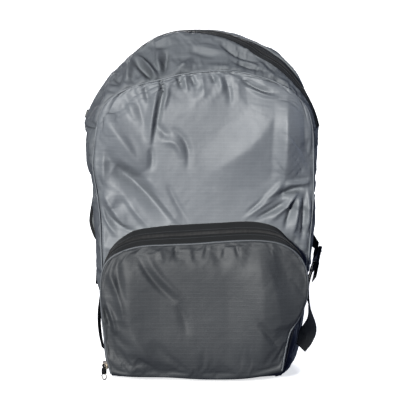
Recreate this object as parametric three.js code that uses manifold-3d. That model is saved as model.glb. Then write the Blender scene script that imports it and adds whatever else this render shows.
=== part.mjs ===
// Packable backpack of light ripstop cloth, stuffed and standing on its bottom, in millimetres.
// The front faces -Y, +X is on the right in the front view, +Z is up, and the origin is on the floor.
import * as THREE from 'three';
import { mergeVertices } from 'three/addons/utils/BufferGeometryUtils.js';
import Module from 'manifold-3d';

const wasm = await Module();
wasm.setup();

// Driving dimensions
const HEIGHT = 412; // floor to the crest of the top
const HALF_WIDTH = 144; // middle plane to the widest point of the left side
const HALF_DEPTH = 50; // middle of the gusset to the seam of the front or back panel
const FRONT_CROWN = 16; // how far the stuffed front panel stands out past its seam
const BACK_CROWN = 8;
const CLOTH = 1.5; // cloth wall, seam allowance included
const CLEARANCE = 0.3; // between pieces that are sewn or seated together
const MAIN_ZIP_WIDTH = 24;
const POCKET_HEIGHT = 196; // floor to the upper edge of the pocket's zip band
const POCKET_DEPTH = 34; // front seam to the edge of the pocket
const POCKET_CROWN = 8;
const COIL_HEIGHT = 1.4; // closed zip coil above its tapes
const PAD_WIDTH = 58;
const PAD_THICKNESS = 6;
const STRAP_STANDOFF = 12; // clear space between the back panel and a shoulder pad
const WEBBING_WIDTH = 22;
const WEBBING = 1.5; // webbing thickness
const BUCKLE_THICKNESS = 3.5;
const BUCKLE_BAR = 4.5; // width of a buckle's bars and rails
const BUCKLE_SLOT = 6;
const WEBBING_TAIL = 16; // free end of the lower webbing past its turn round the buckle's bar
const SLIDER_LENGTH = 10;
const SLIDER_WIDTH = 7;
const SLIDER_PLATE = 2.2;
const SLIDER_FACING = THREE.MathUtils.degToRad(40); // how far the pocket's slider faces left of straight ahead
const EAR_THICKNESS = 1.1;
const PIN_DIAMETER = 1.3; // hinge pin of the zip pull
const PULL_LENGTH = 11; // hinge pin to the lower end of the pull's body
const PULL_NECK = 2.4; // width of the pull between the slider's ears
const PULL_NECK_LENGTH = 3.4;
const PULL_WIDTH = 5.5;
const PULL_THICKNESS = 3.1;
const RING_WIRE = 1.5;
const RING_WIDTH = 8.5;
const RING_HEIGHT = 9.5;

// Mesh steps
const STEPS_PER_STATION = 2;

// Places along the body's loop of stations, as station numbers
const BOTTOM_RIGHT = 2.5;
const ZIP_END_RIGHT = 12;
const TOP_RIGHT = 15;
const TOP_LEFT = 24;
const ZIP_END_LEFT = 27.5;
const BOTTOM_LEFT = 36.5;
const SEAM_SPLIT = 0.012; // half the gap between two pieces that meet end to end, in stations

// The body's loop, from the middle of the bottom up the right side, over the top and down the left side.
// outlineX and seamX are shares of HALF_WIDTH, outlineZ and seamZ are shares of HEIGHT.
const BODY = named(['outlineX', 'outlineZ', 'seamX', 'seamZ'], [
  [0, 0, 0, 0.007],
  [0.36, 0, 0.34, 0.007],
  [0.64, 0, 0.6, 0.007],
  [0.778, 0.017, 0.68, 0.024],
  [0.833, 0.057, 0.735, 0.066],
  [0.865, 0.124, 0.785, 0.132],
  [0.882, 0.214, 0.828, 0.219],
  [0.896, 0.314, 0.861, 0.317],
  [0.903, 0.41, 0.881, 0.411],
  [0.927, 0.505, 0.902, 0.504],
  [0.972, 0.595, 0.906, 0.589],
  [0.986, 0.664, 0.902, 0.662],
  [0.952, 0.73, 0.896, 0.723],
  [0.895, 0.792, 0.862, 0.779],
  [0.824, 0.846, 0.795, 0.815],
  [0.727, 0.894, 0.694, 0.845],
  [0.598, 0.934, 0.569, 0.869],
  [0.462, 0.958, 0.42, 0.886],
  [0.312, 0.978, 0.272, 0.896],
  [0.15, 0.994, 0.123, 0.898],
  [-0.042, 1, -0.034, 0.895],
  [-0.222, 0.995, -0.191, 0.887],
  [-0.375, 0.98, -0.328, 0.875],
  [-0.52, 0.95, -0.451, 0.865],
  [-0.63, 0.908, -0.581, 0.852],
  [-0.757, 0.872, -0.697, 0.832],
  [-0.87, 0.822, -0.799, 0.803],
  [-0.952, 0.765, -0.85, 0.762],
  [-1, 0.69, -0.885, 0.695],
  [-0.997, 0.619, -0.902, 0.621],
  [-0.938, 0.538, -0.871, 0.545],
  [-0.885, 0.469, -0.847, 0.469],
  [-0.868, 0.381, -0.84, 0.383],
  [-0.868, 0.281, -0.83, 0.284],
  [-0.868, 0.176, -0.827, 0.181],
  [-0.847, 0.076, -0.806, 0.085],
  [-0.812, 0.019, -0.765, 0.031],
  [-0.694, 0, -0.649, 0.007],
  [-0.36, 0, -0.342, 0.007],
]);

// The back seam's loop follows the outline, drawn in towards the middle by these shares.
const BACK_SEAM_WIDTH = 0.955;
const BACK_SEAM_HEIGHT = 0.93;

// The pocket's loop, from its bottom left corner up, across and down to its bottom right corner.
// edgeX and baseX are shares of HALF_WIDTH, edgeZ and baseZ are shares of POCKET_HEIGHT.
const POCKET = named(['edgeX', 'edgeZ', 'baseX', 'baseZ'], [
  [-0.755, 0.07, -0.735, 0.06],
  [-0.788, 0.17, -0.775, 0.165],
  [-0.81, 0.31, -0.79, 0.304],
  [-0.83, 0.456, -0.795, 0.451],
  [-0.837, 0.601, -0.8, 0.618],
  [-0.817, 0.708, -0.79, 0.755],
  [-0.759, 0.776, -0.735, 0.833],
  [-0.655, 0.82, -0.626, 0.902],
  [-0.513, 0.849, -0.504, 0.941],
  [-0.311, 0.859, -0.3, 0.963],
  [-0.081, 0.866, -0.082, 0.975],
  [0.135, 0.878, 0.136, 0.983],
  [0.324, 0.886, 0.313, 0.99],
  [0.5, 0.883, 0.463, 0.983],
  [0.628, 0.866, 0.599, 0.949],
  [0.729, 0.827, 0.694, 0.88],
  [0.807, 0.762, 0.776, 0.804],
  [0.847, 0.679, 0.815, 0.716],
  [0.851, 0.553, 0.818, 0.569],
  [0.793, 0.426, 0.785, 0.431],
  [0.716, 0.329, 0.755, 0.314],
  [0.682, 0.232, 0.725, 0.216],
  [0.648, 0.085, 0.67, 0.075],
]);
const POCKET_ZIP_START = 0.15; // station of the pocket loop where the zip band starts at the bottom left
const POCKET_ZIP_END = 21.85;
const POCKET_SLIDER_STATION = 0.4;

// Lower edge of the pocket from left to right: shares of HALF_WIDTH and POCKET_HEIGHT.
const POCKET_HEM = named(['x', 'z'], [
  [-0.755, 0.07],
  [-0.6, 0.05],
  [-0.3, 0.046],
  [0, 0.034],
  [0.3, 0.036],
  [0.5, 0.055],
  [0.648, 0.085],
]);

// Folds of the front panel. Each is a ridge or, with a height under 0, a valley from one point to another.
// x is a share of HALF_WIDTH, z of HEIGHT, width of HALF_WIDTH and height of FRONT_CROWN.
const FRONT_FOLDS = named(['x1', 'z1', 'x2', 'z2', 'width', 'height'], [
  [-0.37, 0.83, -0.43, 0.66, 0.07, 0.2],
  [-0.3, 0.81, -0.36, 0.69, 0.09, -0.24],
  [-0.7, 0.59, -0.33, 0.45, 0.1, -0.3],
  [-0.78, 0.55, -0.55, 0.45, 0.08, 0.2],
  [0.66, 0.79, 0.6, 0.58, 0.08, 0.22],
  [0.6, 0.56, 0.42, 0.49, 0.08, 0.16],
  [0.72, 0.55, 0.6, 0.47, 0.1, -0.28],
  [0.75, 0.58, 0.86, 0.55, 0.08, 0.2],
  [-0.66, 0.7, -0.62, 0.55, 0.12, 0.14],
  [0.3, 0.85, 0.55, 0.79, 0.07, -0.2],
]);

// Folds of the gusset: stations and depth shares, width in stations, height as a share of HALF_DEPTH.
const GUSSET_FOLDS = named(['station1', 'depth1', 'station2', 'depth2', 'width', 'height'], [
  [23.4, 0.05, 24.1, 0.45, 0.5, 0.09],
  [22.8, 0.12, 22.9, 0.4, 0.5, -0.1],
  [21.8, 0.1, 21, 0.4, 0.45, 0.06],
  [24.9, 0.15, 25, 0.5, 0.4, 0.06],
  [17.6, 0.2, 16.2, 0.32, 0.4, -0.07],
  [13.5, 0.15, 11.5, 0.3, 0.4, 0.05],
  [28.5, 0.2, 29.6, 0.35, 0.5, -0.06],
  [8.6, 0.2, 9.6, 0.3, 0.4, -0.07],
  [33.2, 0.1, 34.4, 0.3, 0.5, 0.06],
  [5.2, 0.3, 6.6, 0.4, 0.5, 0.05],
]);
const STATION_PITCH = 0.28; // usual distance between stations as a share of the gusset's depth

// Folds of the pocket: x of HALF_WIDTH, z of POCKET_HEIGHT, width of HALF_WIDTH, height of POCKET_CROWN.
const POCKET_FOLDS = named(['x1', 'z1', 'x2', 'z2', 'width', 'height'], [
  [-0.5, 0.72, -0.2, 0.44, 0.09, -0.3],
  [-0.7, 0.72, -0.68, 0.48, 0.09, -0.35],
  [-0.73, 0.42, -0.7, 0.3, 0.08, -0.4],
  [-0.78, 0.55, -0.66, 0.3, 0.07, 0.3],
  [0.45, 0.32, 0.62, 0.2, 0.1, -0.3],
  [-0.55, 0.3, -0.3, 0.12, 0.1, 0.25],
]);

// Where the main zip runs: stations, and the depth share of the middle of its band.
const MAIN_ZIP_COURSE = named(['station', 'depth'], [
  [12, 0.27],
  [14.5, 0.24],
  [16, 0.29],
  [17.5, 0.39],
  [20, 0.52],
  [24, 0.64],
  [27.5, 0.74],
]);

// The shoulder pads' centre lines from the top seam down. out is a share of HALF_WIDTH, z of HEIGHT, lift is the
// share of the standoff, and turn is how far the outer edge leans forward, in degrees.
const RIGHT_PAD = named(['out', 'z', 'lift', 'turn'], [
  [0.26, 0.9, 0, 0],
  [0.29, 0.855, 0.6, 0],
  [0.38, 0.77, 1, 4],
  [0.52, 0.65, 1.1, 8],
  [0.63, 0.52, 1, 14],
  [0.7, 0.4, 0.6, 24],
]);
const LEFT_PAD = named(['out', 'z', 'lift', 'turn'], [
  [0.26, 0.9, 0, 0],
  [0.29, 0.855, 0.6, 0],
  [0.4, 0.77, 1, 4],
  [0.56, 0.65, 1.1, 8],
  [0.7, 0.52, 1, 12],
  [0.765, 0.42, 0.8, 18],
  [0.73, 0.34, 0.6, 24],
]);

// The lower webbing from the buckle down to the block sewn on the side near the bottom: stations of the body's
// loop, depth shares, the clear space under the webbing as a share of its width, and its twist in degrees.
const RIGHT_WEBBING = named(['station', 'depth', 'lift', 'twist'], [
  [6.75, 0.9, 0.34, 0],
  [6.2, 0.78, 0.06, 0],
  [5.7, 0.58, 0.1, 6],
  [5.25, 0.38, 0.28, 16],
  [4.85, 0.2, 0.27, 26],
  [4.5, 0.06, 0.25, 28],
]);
const LEFT_WEBBING = named(['station', 'depth', 'lift', 'twist'], [
  [33.1, 0.95, 0.06, 0],
  [33.7, 0.88, 0.04, 0],
  [34.3, 0.74, 0.12, 0],
  [34.8, 0.68, 0.1, 0],
  [35.3, 0.62, 0.005, 0],
]);

// Materials
const cloth = new THREE.MeshStandardMaterial({ color: 0x83888f, roughness: 0.55, metalness: 0 });
const darkCloth = new THREE.MeshStandardMaterial({ color: 0x5c6067, roughness: 0.6, metalness: 0 });
const zipTape = new THREE.MeshStandardMaterial({ color: 0x2b2a2c, roughness: 0.7, metalness: 0 });
const webbing = new THREE.MeshStandardMaterial({ color: 0x18181c, roughness: 0.8, metalness: 0 });
const padMesh = new THREE.MeshStandardMaterial({ color: 0x3f4646, roughness: 0.9, metalness: 0 });
const plastic = new THREE.MeshStandardMaterial({ color: 0x121214, roughness: 0.4, metalness: 0 });
const metal = new THREE.MeshStandardMaterial({ color: 0xb4aca2, roughness: 0.3, metalness: 1 });

// Tables and curves

function named(columns, rows) {
  return rows.map((row) => Object.fromEntries(columns.map((name, i) => [name, row[i]])));
}

function curveThrough(points, closed = false) {
  return new THREE.CatmullRomCurve3(points, closed, 'catmullrom', 0.5);
}

function atStation(curve, station, count) {
  const share = station / count;
  return curve.getPoint(curve.closed ? share - Math.floor(share) : share);
}

function steps(from, to, count) {
  return Array.from({ length: count + 1 }, (_, i) => from + ((to - from) * i) / count);
}

function stationSteps(from, to) {
  const inner = steps(from, to, Math.round((to - from) * STEPS_PER_STATION)).slice(1, -1);
  return [from + SEAM_SPLIT, ...inner, to - SEAM_SPLIT];
}

function segmentShare(px, py, x1, y1, x2, y2) {
  const dx = x2 - x1;
  const dy = y2 - y1;
  const along = ((px - x1) * dx + (py - y1) * dy) / (dx * dx + dy * dy);
  const held = Math.min(Math.max(along, 0), 1);
  return { held, distance: Math.hypot(px - x1 - held * dx, py - y1 - held * dy) };
}

// Height of a fold at a distance, highest at its middle and half as high at its ends.
function foldHeight({ held, distance }, width, height) {
  const alongFold = 0.5 + 0.5 * Math.sin(Math.PI * held);
  return height * alongFold * Math.exp(-((distance / width) ** 2));
}

// Closed solids from grids of points

function closedGeometry(positions, triangles) {
  const geometry = new THREE.BufferGeometry();
  geometry.setAttribute('position', new THREE.Float32BufferAttribute(positions, 3));
  geometry.setIndex(triangles);
  return geometry;
}

function signedVolume(points, triangles) {
  let sum = 0;
  for (let i = 0; i < triangles.length; i += 3) {
    const [a, b, c] = [0, 1, 2].map((k) => points[triangles[i + k]]);
    sum += a.dot(b.clone().cross(c));
  }
  return sum / 6;
}

// A sheet with a thickness: outer and inner are equal grids, joined along their four edges.
function solidBetween(outer, inner) {
  const rows = outer.length;
  const columns = outer[0].length;
  const points = [...outer.flat(), ...inner.flat()];
  const at = (layer, i, j) => (layer * rows + i) * columns + j;
  const triangles = [];
  const quad = (a, b, c, d) => triangles.push(a, b, c, a, c, d);
  for (let i = 0; i < rows - 1; i++) {
    for (let j = 0; j < columns - 1; j++) {
      quad(at(0, i, j), at(0, i, j + 1), at(0, i + 1, j + 1), at(0, i + 1, j));
      quad(at(1, i, j), at(1, i + 1, j), at(1, i + 1, j + 1), at(1, i, j + 1));
    }
  }
  for (let j = 0; j < columns - 1; j++) {
    quad(at(0, 0, j), at(1, 0, j), at(1, 0, j + 1), at(0, 0, j + 1));
    quad(at(0, rows - 1, j + 1), at(1, rows - 1, j + 1), at(1, rows - 1, j), at(0, rows - 1, j));
  }
  for (let i = 0; i < rows - 1; i++) {
    quad(at(0, i + 1, 0), at(1, i + 1, 0), at(1, i, 0), at(0, i, 0));
    quad(at(0, i, columns - 1), at(1, i, columns - 1), at(1, i + 1, columns - 1), at(0, i + 1, columns - 1));
  }
  if (signedVolume(points, triangles) < 0) {
    triangles.reverse();
  }
  return closedGeometry(points.flatMap((p) => p.toArray()), triangles);
}

function gridNormal(grid, i, j) {
  const down = grid[Math.min(i + 1, grid.length - 1)][j];
  const up = grid[Math.max(i - 1, 0)][j];
  const right = grid[i][Math.min(j + 1, grid[0].length - 1)];
  const left = grid[i][Math.max(j - 1, 0)];
  return right.clone().sub(left).cross(down.clone().sub(up)).normalize();
}

// The inner side of a wall: each point moved inward by the wall, along the normal or along edgeDirection's answer.
// facing is 1 where the grid's normals point out and -1 where they point in.
function innerSide(outer, wall, facing, edgeDirection = () => null) {
  return outer.map((row, i) => row.map((point, j) => {
    const direction = edgeDirection(i, j) ?? gridNormal(outer, i, j).multiplyScalar(-facing);
    return point.clone().addScaledVector(direction, wall);
  }));
}

function onRim(grid, i, j) {
  return i === 0 || j === 0 || i === grid.length - 1 || j === grid[0].length - 1;
}

// A patch between four edges that meet at its corners.
function patch(bottom, top, left, right) {
  const rows = left.length - 1;
  const columns = bottom.length - 1;
  return left.map((_, i) => bottom.map((__, j) => {
    const v = i / rows;
    const u = j / columns;
    const point = new THREE.Vector3();
    point.addScaledVector(bottom[j], 1 - v).addScaledVector(top[j], v);
    point.addScaledVector(left[i], 1 - u).addScaledVector(right[i], u);
    point.addScaledVector(bottom[0], -(1 - u) * (1 - v)).addScaledVector(bottom[columns], -u * (1 - v));
    return point.addScaledVector(top[0], -(1 - u) * v).addScaledVector(top[columns], -u * v);
  }));
}

// How far a stuffed panel stands out at a place in its patch: 0 on its rim, 1 in its middle.
function crownShare(u, v) {
  const across = 1 - Math.abs(2 * u - 1) ** 2.6;
  const upward = 1 - Math.abs(2 * v - 1) ** 2.6;
  return (across * upward) ** 0.7;
}

// The y of a patch at x and z, from the triangle of the grid that is in front of or behind that place.
function depthAt(grid, x, z) {
  for (let i = 0; i < grid.length - 1; i++) {
    for (let j = 0; j < grid[0].length - 1; j++) {
      const [a, b, c, d] = [grid[i][j], grid[i][j + 1], grid[i + 1][j + 1], grid[i + 1][j]];
      for (const [p, q, r] of [[a, b, c], [a, c, d]]) {
        const area = (q.x - p.x) * (r.z - p.z) - (r.x - p.x) * (q.z - p.z);
        const atQ = ((x - p.x) * (r.z - p.z) - (r.x - p.x) * (z - p.z)) / area;
        const atR = ((q.x - p.x) * (z - p.z) - (x - p.x) * (q.z - p.z)) / area;
        if (atQ >= 0 && atR >= 0 && atQ + atR <= 1) {
          return p.y + atQ * (q.y - p.y) + atR * (r.y - p.y);
        }
      }
    }
  }
  return grid[0][0].y;
}

// Body

const outline = curveThrough(
  BODY.map((row) => new THREE.Vector3(row.outlineX * HALF_WIDTH, 0, row.outlineZ * HEIGHT)),
  true,
);
const frontSeam = curveThrough(
  BODY.map((row) => new THREE.Vector3(row.seamX * HALF_WIDTH, -HALF_DEPTH, row.seamZ * HEIGHT)),
  true,
);
const SEAM_LIFT = BODY[0].seamZ * HEIGHT; // the seams round the bottom stand this far off the floor
const FLOOR_PRESS = 0.3; // the share of that height in which the floor presses the bottom flat

function seamPoint(station) {
  const point = atStation(frontSeam, station, BODY.length);
  point.z = Math.max(point.z, SEAM_LIFT);
  return point;
}

function backSeamPoint(station) {
  const point = atStation(outline, station, BODY.length);
  const lifted = SEAM_LIFT + Math.max(point.z, 0) * BACK_SEAM_HEIGHT;
  return new THREE.Vector3(point.x * BACK_SEAM_WIDTH, HALF_DEPTH, lifted);
}

// A point of the gusset between the panels: depth 0 is at the front seam and 1 is at the back seam.
function gussetPoint(station, depth) {
  const crest = atStation(outline, station, BODY.length);
  const before = atStation(outline, station - 0.1, BODY.length);
  const after = atStation(outline, station + 0.1, BODY.length);
  const outward = new THREE.Vector3(after.z - before.z, 0, before.x - after.x).normalize();
  const seam = depth < 0.5 ? seamPoint(station) : backSeamPoint(station);
  const drawnIn = Math.abs(2 * depth - 1) ** 2;
  const point = crest.clone().lerp(seam, drawnIn);
  const fromRim = Math.sin(Math.PI * depth);
  for (const fold of GUSSET_FOLDS) {
    const place = segmentShare(
      station * STATION_PITCH, depth, fold.station1 * STATION_PITCH, fold.depth1,
      fold.station2 * STATION_PITCH, fold.depth2,
    );
    const height = foldHeight(place, fold.width * STATION_PITCH, fold.height * HALF_DEPTH);
    point.addScaledVector(outward, height * fromRim);
  }
  const wallBehindPanel = CLOTH + CLEARANCE;
  point.y = (2 * depth - 1) * (HALF_DEPTH - wallBehindPanel);
  if (point.z < SEAM_LIFT) {
    point.z = Math.max((point.z - FLOOR_PRESS * SEAM_LIFT) / (1 - FLOOR_PRESS), 0);
  }
  return point;
}

// The surface's outward direction at a point of the gusset.
function gussetNormal(station, depth) {
  const along = gussetPoint(station + 0.2, depth).sub(gussetPoint(station - 0.2, depth));
  const back = gussetPoint(station, depth + 0.02).sub(gussetPoint(station, depth - 0.02));
  return back.cross(along).normalize();
}

// A wall of the gusset between two stations. depthsAt gives a station's depths, and raised what stands on them.
function gussetWall(from, to, depthsAt, raised = () => 0) {
  const places = stationSteps(from, to).map((station) => depthsAt(station).map((depth) => ({ station, depth })));
  const layer = (height) => places.map((row) => row.map(({ station, depth }, j) => {
    return gussetPoint(station, depth).addScaledVector(gussetNormal(station, depth), height(j));
  }));
  return solidBetween(layer(raised), layer(() => -CLOTH));
}

// A piece of the gusset between two depths that may change from station to station.
function gussetPiece(from, to, depthFrom, depthTo, columns) {
  return gussetWall(from, to, (station) => steps(depthFrom(station), depthTo(station), columns));
}

function courseDepth(station) {
  const after = MAIN_ZIP_COURSE.findIndex((row) => row.station >= station);
  const b = MAIN_ZIP_COURSE[Math.max(after, 1)];
  const a = MAIN_ZIP_COURSE[Math.max(after, 1) - 1];
  return THREE.MathUtils.lerp(a.depth, b.depth, (station - a.station) / (b.station - a.station));
}

const ZIP_HALF_SHARE = MAIN_ZIP_WIDTH / 2 / (2 * HALF_DEPTH);
const GAP_SHARE = CLEARANCE / (2 * HALF_DEPTH);
const zipFront = (station) => courseDepth(station) - ZIP_HALF_SHARE;
const zipBack = (station) => courseDepth(station) + ZIP_HALF_SHARE;

// Cross-section of a closed zip: places across its width, and the height of the coil there.
const ZIP_SECTION = named(['across', 'raised'], [
  [0, 0],
  [0.4, 0.15],
  [0.45, 1],
  [0.55, 1],
  [0.6, 0.15],
  [1, 0],
]);

function mainZip() {
  const depthsAt = (station) => ZIP_SECTION.map((row) => {
    return THREE.MathUtils.lerp(zipFront(station) + GAP_SHARE, zipBack(station) - GAP_SHARE, row.across);
  });
  return gussetWall(ZIP_END_RIGHT, ZIP_END_LEFT, depthsAt, (j) => COIL_HEIGHT * ZIP_SECTION[j].raised);
}

function frontPanelGrid() {
  const sideSteps = (TOP_RIGHT - PANEL_CORNER_RIGHT) * STEPS_PER_STATION;
  const acrossSteps = (TOP_LEFT - TOP_RIGHT) * STEPS_PER_STATION;
  const left = steps(PANEL_CORNER_LEFT, TOP_LEFT, sideSteps).map(seamPoint);
  const right = steps(PANEL_CORNER_RIGHT, TOP_RIGHT, sideSteps).map(seamPoint);
  const top = steps(TOP_LEFT, TOP_RIGHT, acrossSteps).map(seamPoint);
  const bottom = steps(PANEL_CORNER_LEFT, PANEL_CORNER_RIGHT + BODY.length, acrossSteps).map(seamPoint);
  const grid = patch(bottom, top, left, right);
  grid.forEach((row, i) => row.forEach((point, j) => {
    const share = crownShare(j / acrossSteps, i / sideSteps);
    point.y -= FRONT_CROWN * share;
    for (const fold of FRONT_FOLDS) {
      const place = segmentShare(
        point.x, point.z, fold.x1 * HALF_WIDTH, fold.z1 * HEIGHT, fold.x2 * HALF_WIDTH, fold.z2 * HEIGHT,
      );
      point.y -= share * foldHeight(place, fold.width * HALF_WIDTH, fold.height * FRONT_CROWN);
    }
  }));
  return grid;
}

const PANEL_CORNER_RIGHT = 2;
const PANEL_CORNER_LEFT = 37;
const frontGrid = frontPanelGrid();

function frontPanel() {
  const back = new THREE.Vector3(0, 1, 0);
  return solidBetween(frontGrid, innerSide(frontGrid, CLOTH, 1, (i, j) => (onRim(frontGrid, i, j) ? back : null)));
}

function backPanelGrid() {
  const sideSteps = TOP_RIGHT - PANEL_CORNER_RIGHT;
  const acrossSteps = TOP_LEFT - TOP_RIGHT;
  const left = steps(PANEL_CORNER_LEFT, TOP_LEFT, sideSteps).map(backSeamPoint);
  const right = steps(PANEL_CORNER_RIGHT, TOP_RIGHT, sideSteps).map(backSeamPoint);
  const top = steps(TOP_LEFT, TOP_RIGHT, acrossSteps).map(backSeamPoint);
  const bottom = steps(PANEL_CORNER_LEFT, PANEL_CORNER_RIGHT + BODY.length, acrossSteps).map(backSeamPoint);
  const grid = patch(bottom, top, left, right);
  grid.forEach((row, i) => row.forEach((point, j) => {
    point.y += BACK_CROWN * crownShare(j / acrossSteps, i / sideSteps);
  }));
  return grid;
}

const backGrid = backPanelGrid();

function backPanel() {
  const forward = new THREE.Vector3(0, -1, 0);
  return solidBetween(backGrid, innerSide(backGrid, CLOTH, -1, (i, j) => (onRim(backGrid, i, j) ? forward : null)));
}

// Pocket

const EDGE_Y = -(HALF_DEPTH + POCKET_DEPTH);
const pocketEdge = curveThrough(
  POCKET.map((row) => new THREE.Vector3(row.edgeX * HALF_WIDTH, EDGE_Y, row.edgeZ * POCKET_HEIGHT)),
);
const pocketBase = curveThrough(
  POCKET.map((row) => new THREE.Vector3(row.baseX * HALF_WIDTH, 0, row.baseZ * POCKET_HEIGHT)),
);
const pocketHem = curveThrough(
  POCKET_HEM.map((row) => new THREE.Vector3(row.x * HALF_WIDTH, EDGE_Y, row.z * POCKET_HEIGHT)),
);
const POCKET_SPANS = POCKET.length - 1;

// A point of the zip band: across 0 is at the pocket's edge and 1 is at the front panel.
function bandPoint(station, across) {
  const edge = atStation(pocketEdge, station, POCKET_SPANS);
  edge.y += CLOTH + CLEARANCE;
  const base = atStation(pocketBase, station, POCKET_SPANS);
  const inward = new THREE.Vector3(-base.x, 0, POCKET_HEIGHT / 2 - base.z).setLength(CLOTH).add(base);
  const panelY = Math.min(depthAt(frontGrid, base.x, base.z), depthAt(frontGrid, inward.x, inward.z));
  base.y = panelY - 2 * CLEARANCE;
  const rise = Math.hypot(base.x - edge.x, base.z - edge.z) / base.distanceTo(edge);
  base.y -= CLOTH * rise;
  return edge.lerp(base, across);
}

function pocketZip() {
  const count = Math.round((POCKET_ZIP_END - POCKET_ZIP_START) * STEPS_PER_STATION);
  const flat = steps(POCKET_ZIP_START, POCKET_ZIP_END, count).map((station) => {
    return ZIP_SECTION.map((row) => bandPoint(station, row.across));
  });
  const outer = flat.map((row, i) => row.map((point, j) => {
    return point.clone().addScaledVector(gridNormal(flat, i, j), -COIL_HEIGHT * ZIP_SECTION[j].raised);
  }));
  return solidBetween(outer, innerSide(flat, CLOTH, -1));
}

// The pocket's cloth: its front, and under its lower edge a strip that turns back to the bottom seam.
const POCKET_CORNER_LEFT = 7;
const POCKET_CORNER_RIGHT = 15;
const POCKET_UNDER_STEPS = 3;

function pocketPanelGrid() {
  const sideSteps = POCKET_CORNER_LEFT * STEPS_PER_STATION;
  const acrossSteps = (POCKET_CORNER_RIGHT - POCKET_CORNER_LEFT) * STEPS_PER_STATION;
  const edge = (station) => atStation(pocketEdge, station, POCKET_SPANS);
  const left = steps(0, POCKET_CORNER_LEFT, sideSteps).map(edge);
  const right = steps(POCKET_SPANS, POCKET_CORNER_RIGHT, sideSteps).map(edge);
  const top = steps(POCKET_CORNER_LEFT, POCKET_CORNER_RIGHT, acrossSteps).map(edge);
  const bottom = steps(0, 1, acrossSteps).map((share) => pocketHem.getPoint(share));
  const front = patch(bottom, top, left, right);
  front.forEach((row, i) => row.forEach((point, j) => {
    const share = crownShare(j / acrossSteps, i / sideSteps);
    point.y -= POCKET_CROWN * share;
    for (const fold of POCKET_FOLDS) {
      const place = segmentShare(
        point.x, point.z, fold.x1 * HALF_WIDTH, fold.z1 * POCKET_HEIGHT,
        fold.x2 * HALF_WIDTH, fold.z2 * POCKET_HEIGHT,
      );
      point.y -= share * foldHeight(place, fold.width * HALF_WIDTH, fold.height * POCKET_CROWN);
    }
  }));
  const under = steps(1, 0, POCKET_UNDER_STEPS).slice(0, -1).map((back) => bottom.map((point) => {
    const z = THREE.MathUtils.lerp(point.z, SEAM_LIFT + CLOTH, Math.sin((Math.PI / 2) * back));
    const panelY = depthAt(frontGrid, point.x, SEAM_LIFT + 2 * CLOTH) - CLEARANCE;
    return new THREE.Vector3(point.x, THREE.MathUtils.lerp(EDGE_Y, panelY, back), z);
  }));
  return [...under, ...front];
}

function pocketPanel() {
  const grid = pocketPanelGrid();
  const back = new THREE.Vector3(0, 1, 0);
  const upward = new THREE.Vector3(0, 0, 1);
  return solidBetween(grid, innerSide(grid, CLOTH, 1, (i, j) => {
    if (i === 0) {
      return upward;
    }
    return i > POCKET_UNDER_STEPS && onRim(grid, i, j) ? back : null;
  }));
}

// Straps. A ribbon is a flat strip along a path, with a width direction at each point.

function ribbon(path, widthDirections, width, thickness, across = [-0.5, 0.5], edgeShare = 1) {
  const side = (sign) => path.map((point, i) => across.map((share) => {
    const before = path[Math.max(i - 1, 0)];
    const after = path[Math.min(i + 1, path.length - 1)];
    const along = after.clone().sub(before).normalize();
    const flat = along.clone().cross(widthDirections[i]).normalize();
    const full = edgeShare + (1 - edgeShare) * (1 - (2 * share) ** 4);
    return point.clone()
      .addScaledVector(widthDirections[i], width * share)
      .addScaledVector(flat, (sign * thickness * full) / 2);
  }));
  return solidBetween(side(1), side(-1));
}

const PAD_ACROSS = [-0.5, -0.4, -0.15, 0.15, 0.4, 0.5];
const PAD_EDGE = 0.45; // thickness of a pad's bound edge as a share of its middle
const PAD_STEPS = 14;

// The y of the back panel's farthest point under a pad.
function backUnderPad(x, z) {
  return Math.max(...[-0.5, 0, 0.5].map((share) => depthAt(backGrid, x + share * PAD_WIDTH, z)));
}

// The centre line and width directions of a pad. side is 1 on the right and -1 on the left.
function padCourse(side, table) {
  const line = curveThrough(table.map((row) => {
    const x = side * row.out * HALF_WIDTH;
    const z = row.z * HEIGHT;
    const standoff = PAD_THICKNESS / 2 + CLEARANCE + row.lift * STRAP_STANDOFF;
    return new THREE.Vector3(x, backUnderPad(x, z) + standoff, z);
  }));
  const turns = curveThrough(table.map((row) => new THREE.Vector3(row.turn, 0, 0)));
  const path = line.getPoints(PAD_STEPS);
  const directions = turns.getPoints(PAD_STEPS).map((turn, i) => {
    const angle = THREE.MathUtils.degToRad(turn.x);
    const along = line.getTangent(i / PAD_STEPS);
    const width = new THREE.Vector3(side * Math.cos(angle), -Math.sin(angle), 0);
    return width.addScaledVector(along, -width.dot(along)).normalize();
  });
  return { path, directions };
}

function shoulderPad(side, table) {
  const { path, directions } = padCourse(side, table);
  return ribbon(path, directions, PAD_WIDTH, PAD_THICKNESS, PAD_ACROSS, PAD_EDGE);
}

// Buckles and webbing. A buckle is a plate with three bars, and both webbings turn round its outer bars.

const BUCKLE_WIDTH = WEBBING_WIDTH + 2 * CLEARANCE + 2 * BUCKLE_BAR;
const BUCKLE_LENGTH = 3 * BUCKLE_BAR + 2 * BUCKLE_SLOT;
const OUTER_BAR = (BUCKLE_LENGTH - BUCKLE_BAR) / 2; // buckle's middle to the middle of its upper or lower bar
const TURN_REACH = BUCKLE_BAR / 2 + CLEARANCE + WEBBING / 2;
const TURN_RISE = BUCKLE_THICKNESS / 2 + CLEARANCE + WEBBING / 2;
const WEBBING_STEPS = 14;

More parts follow.
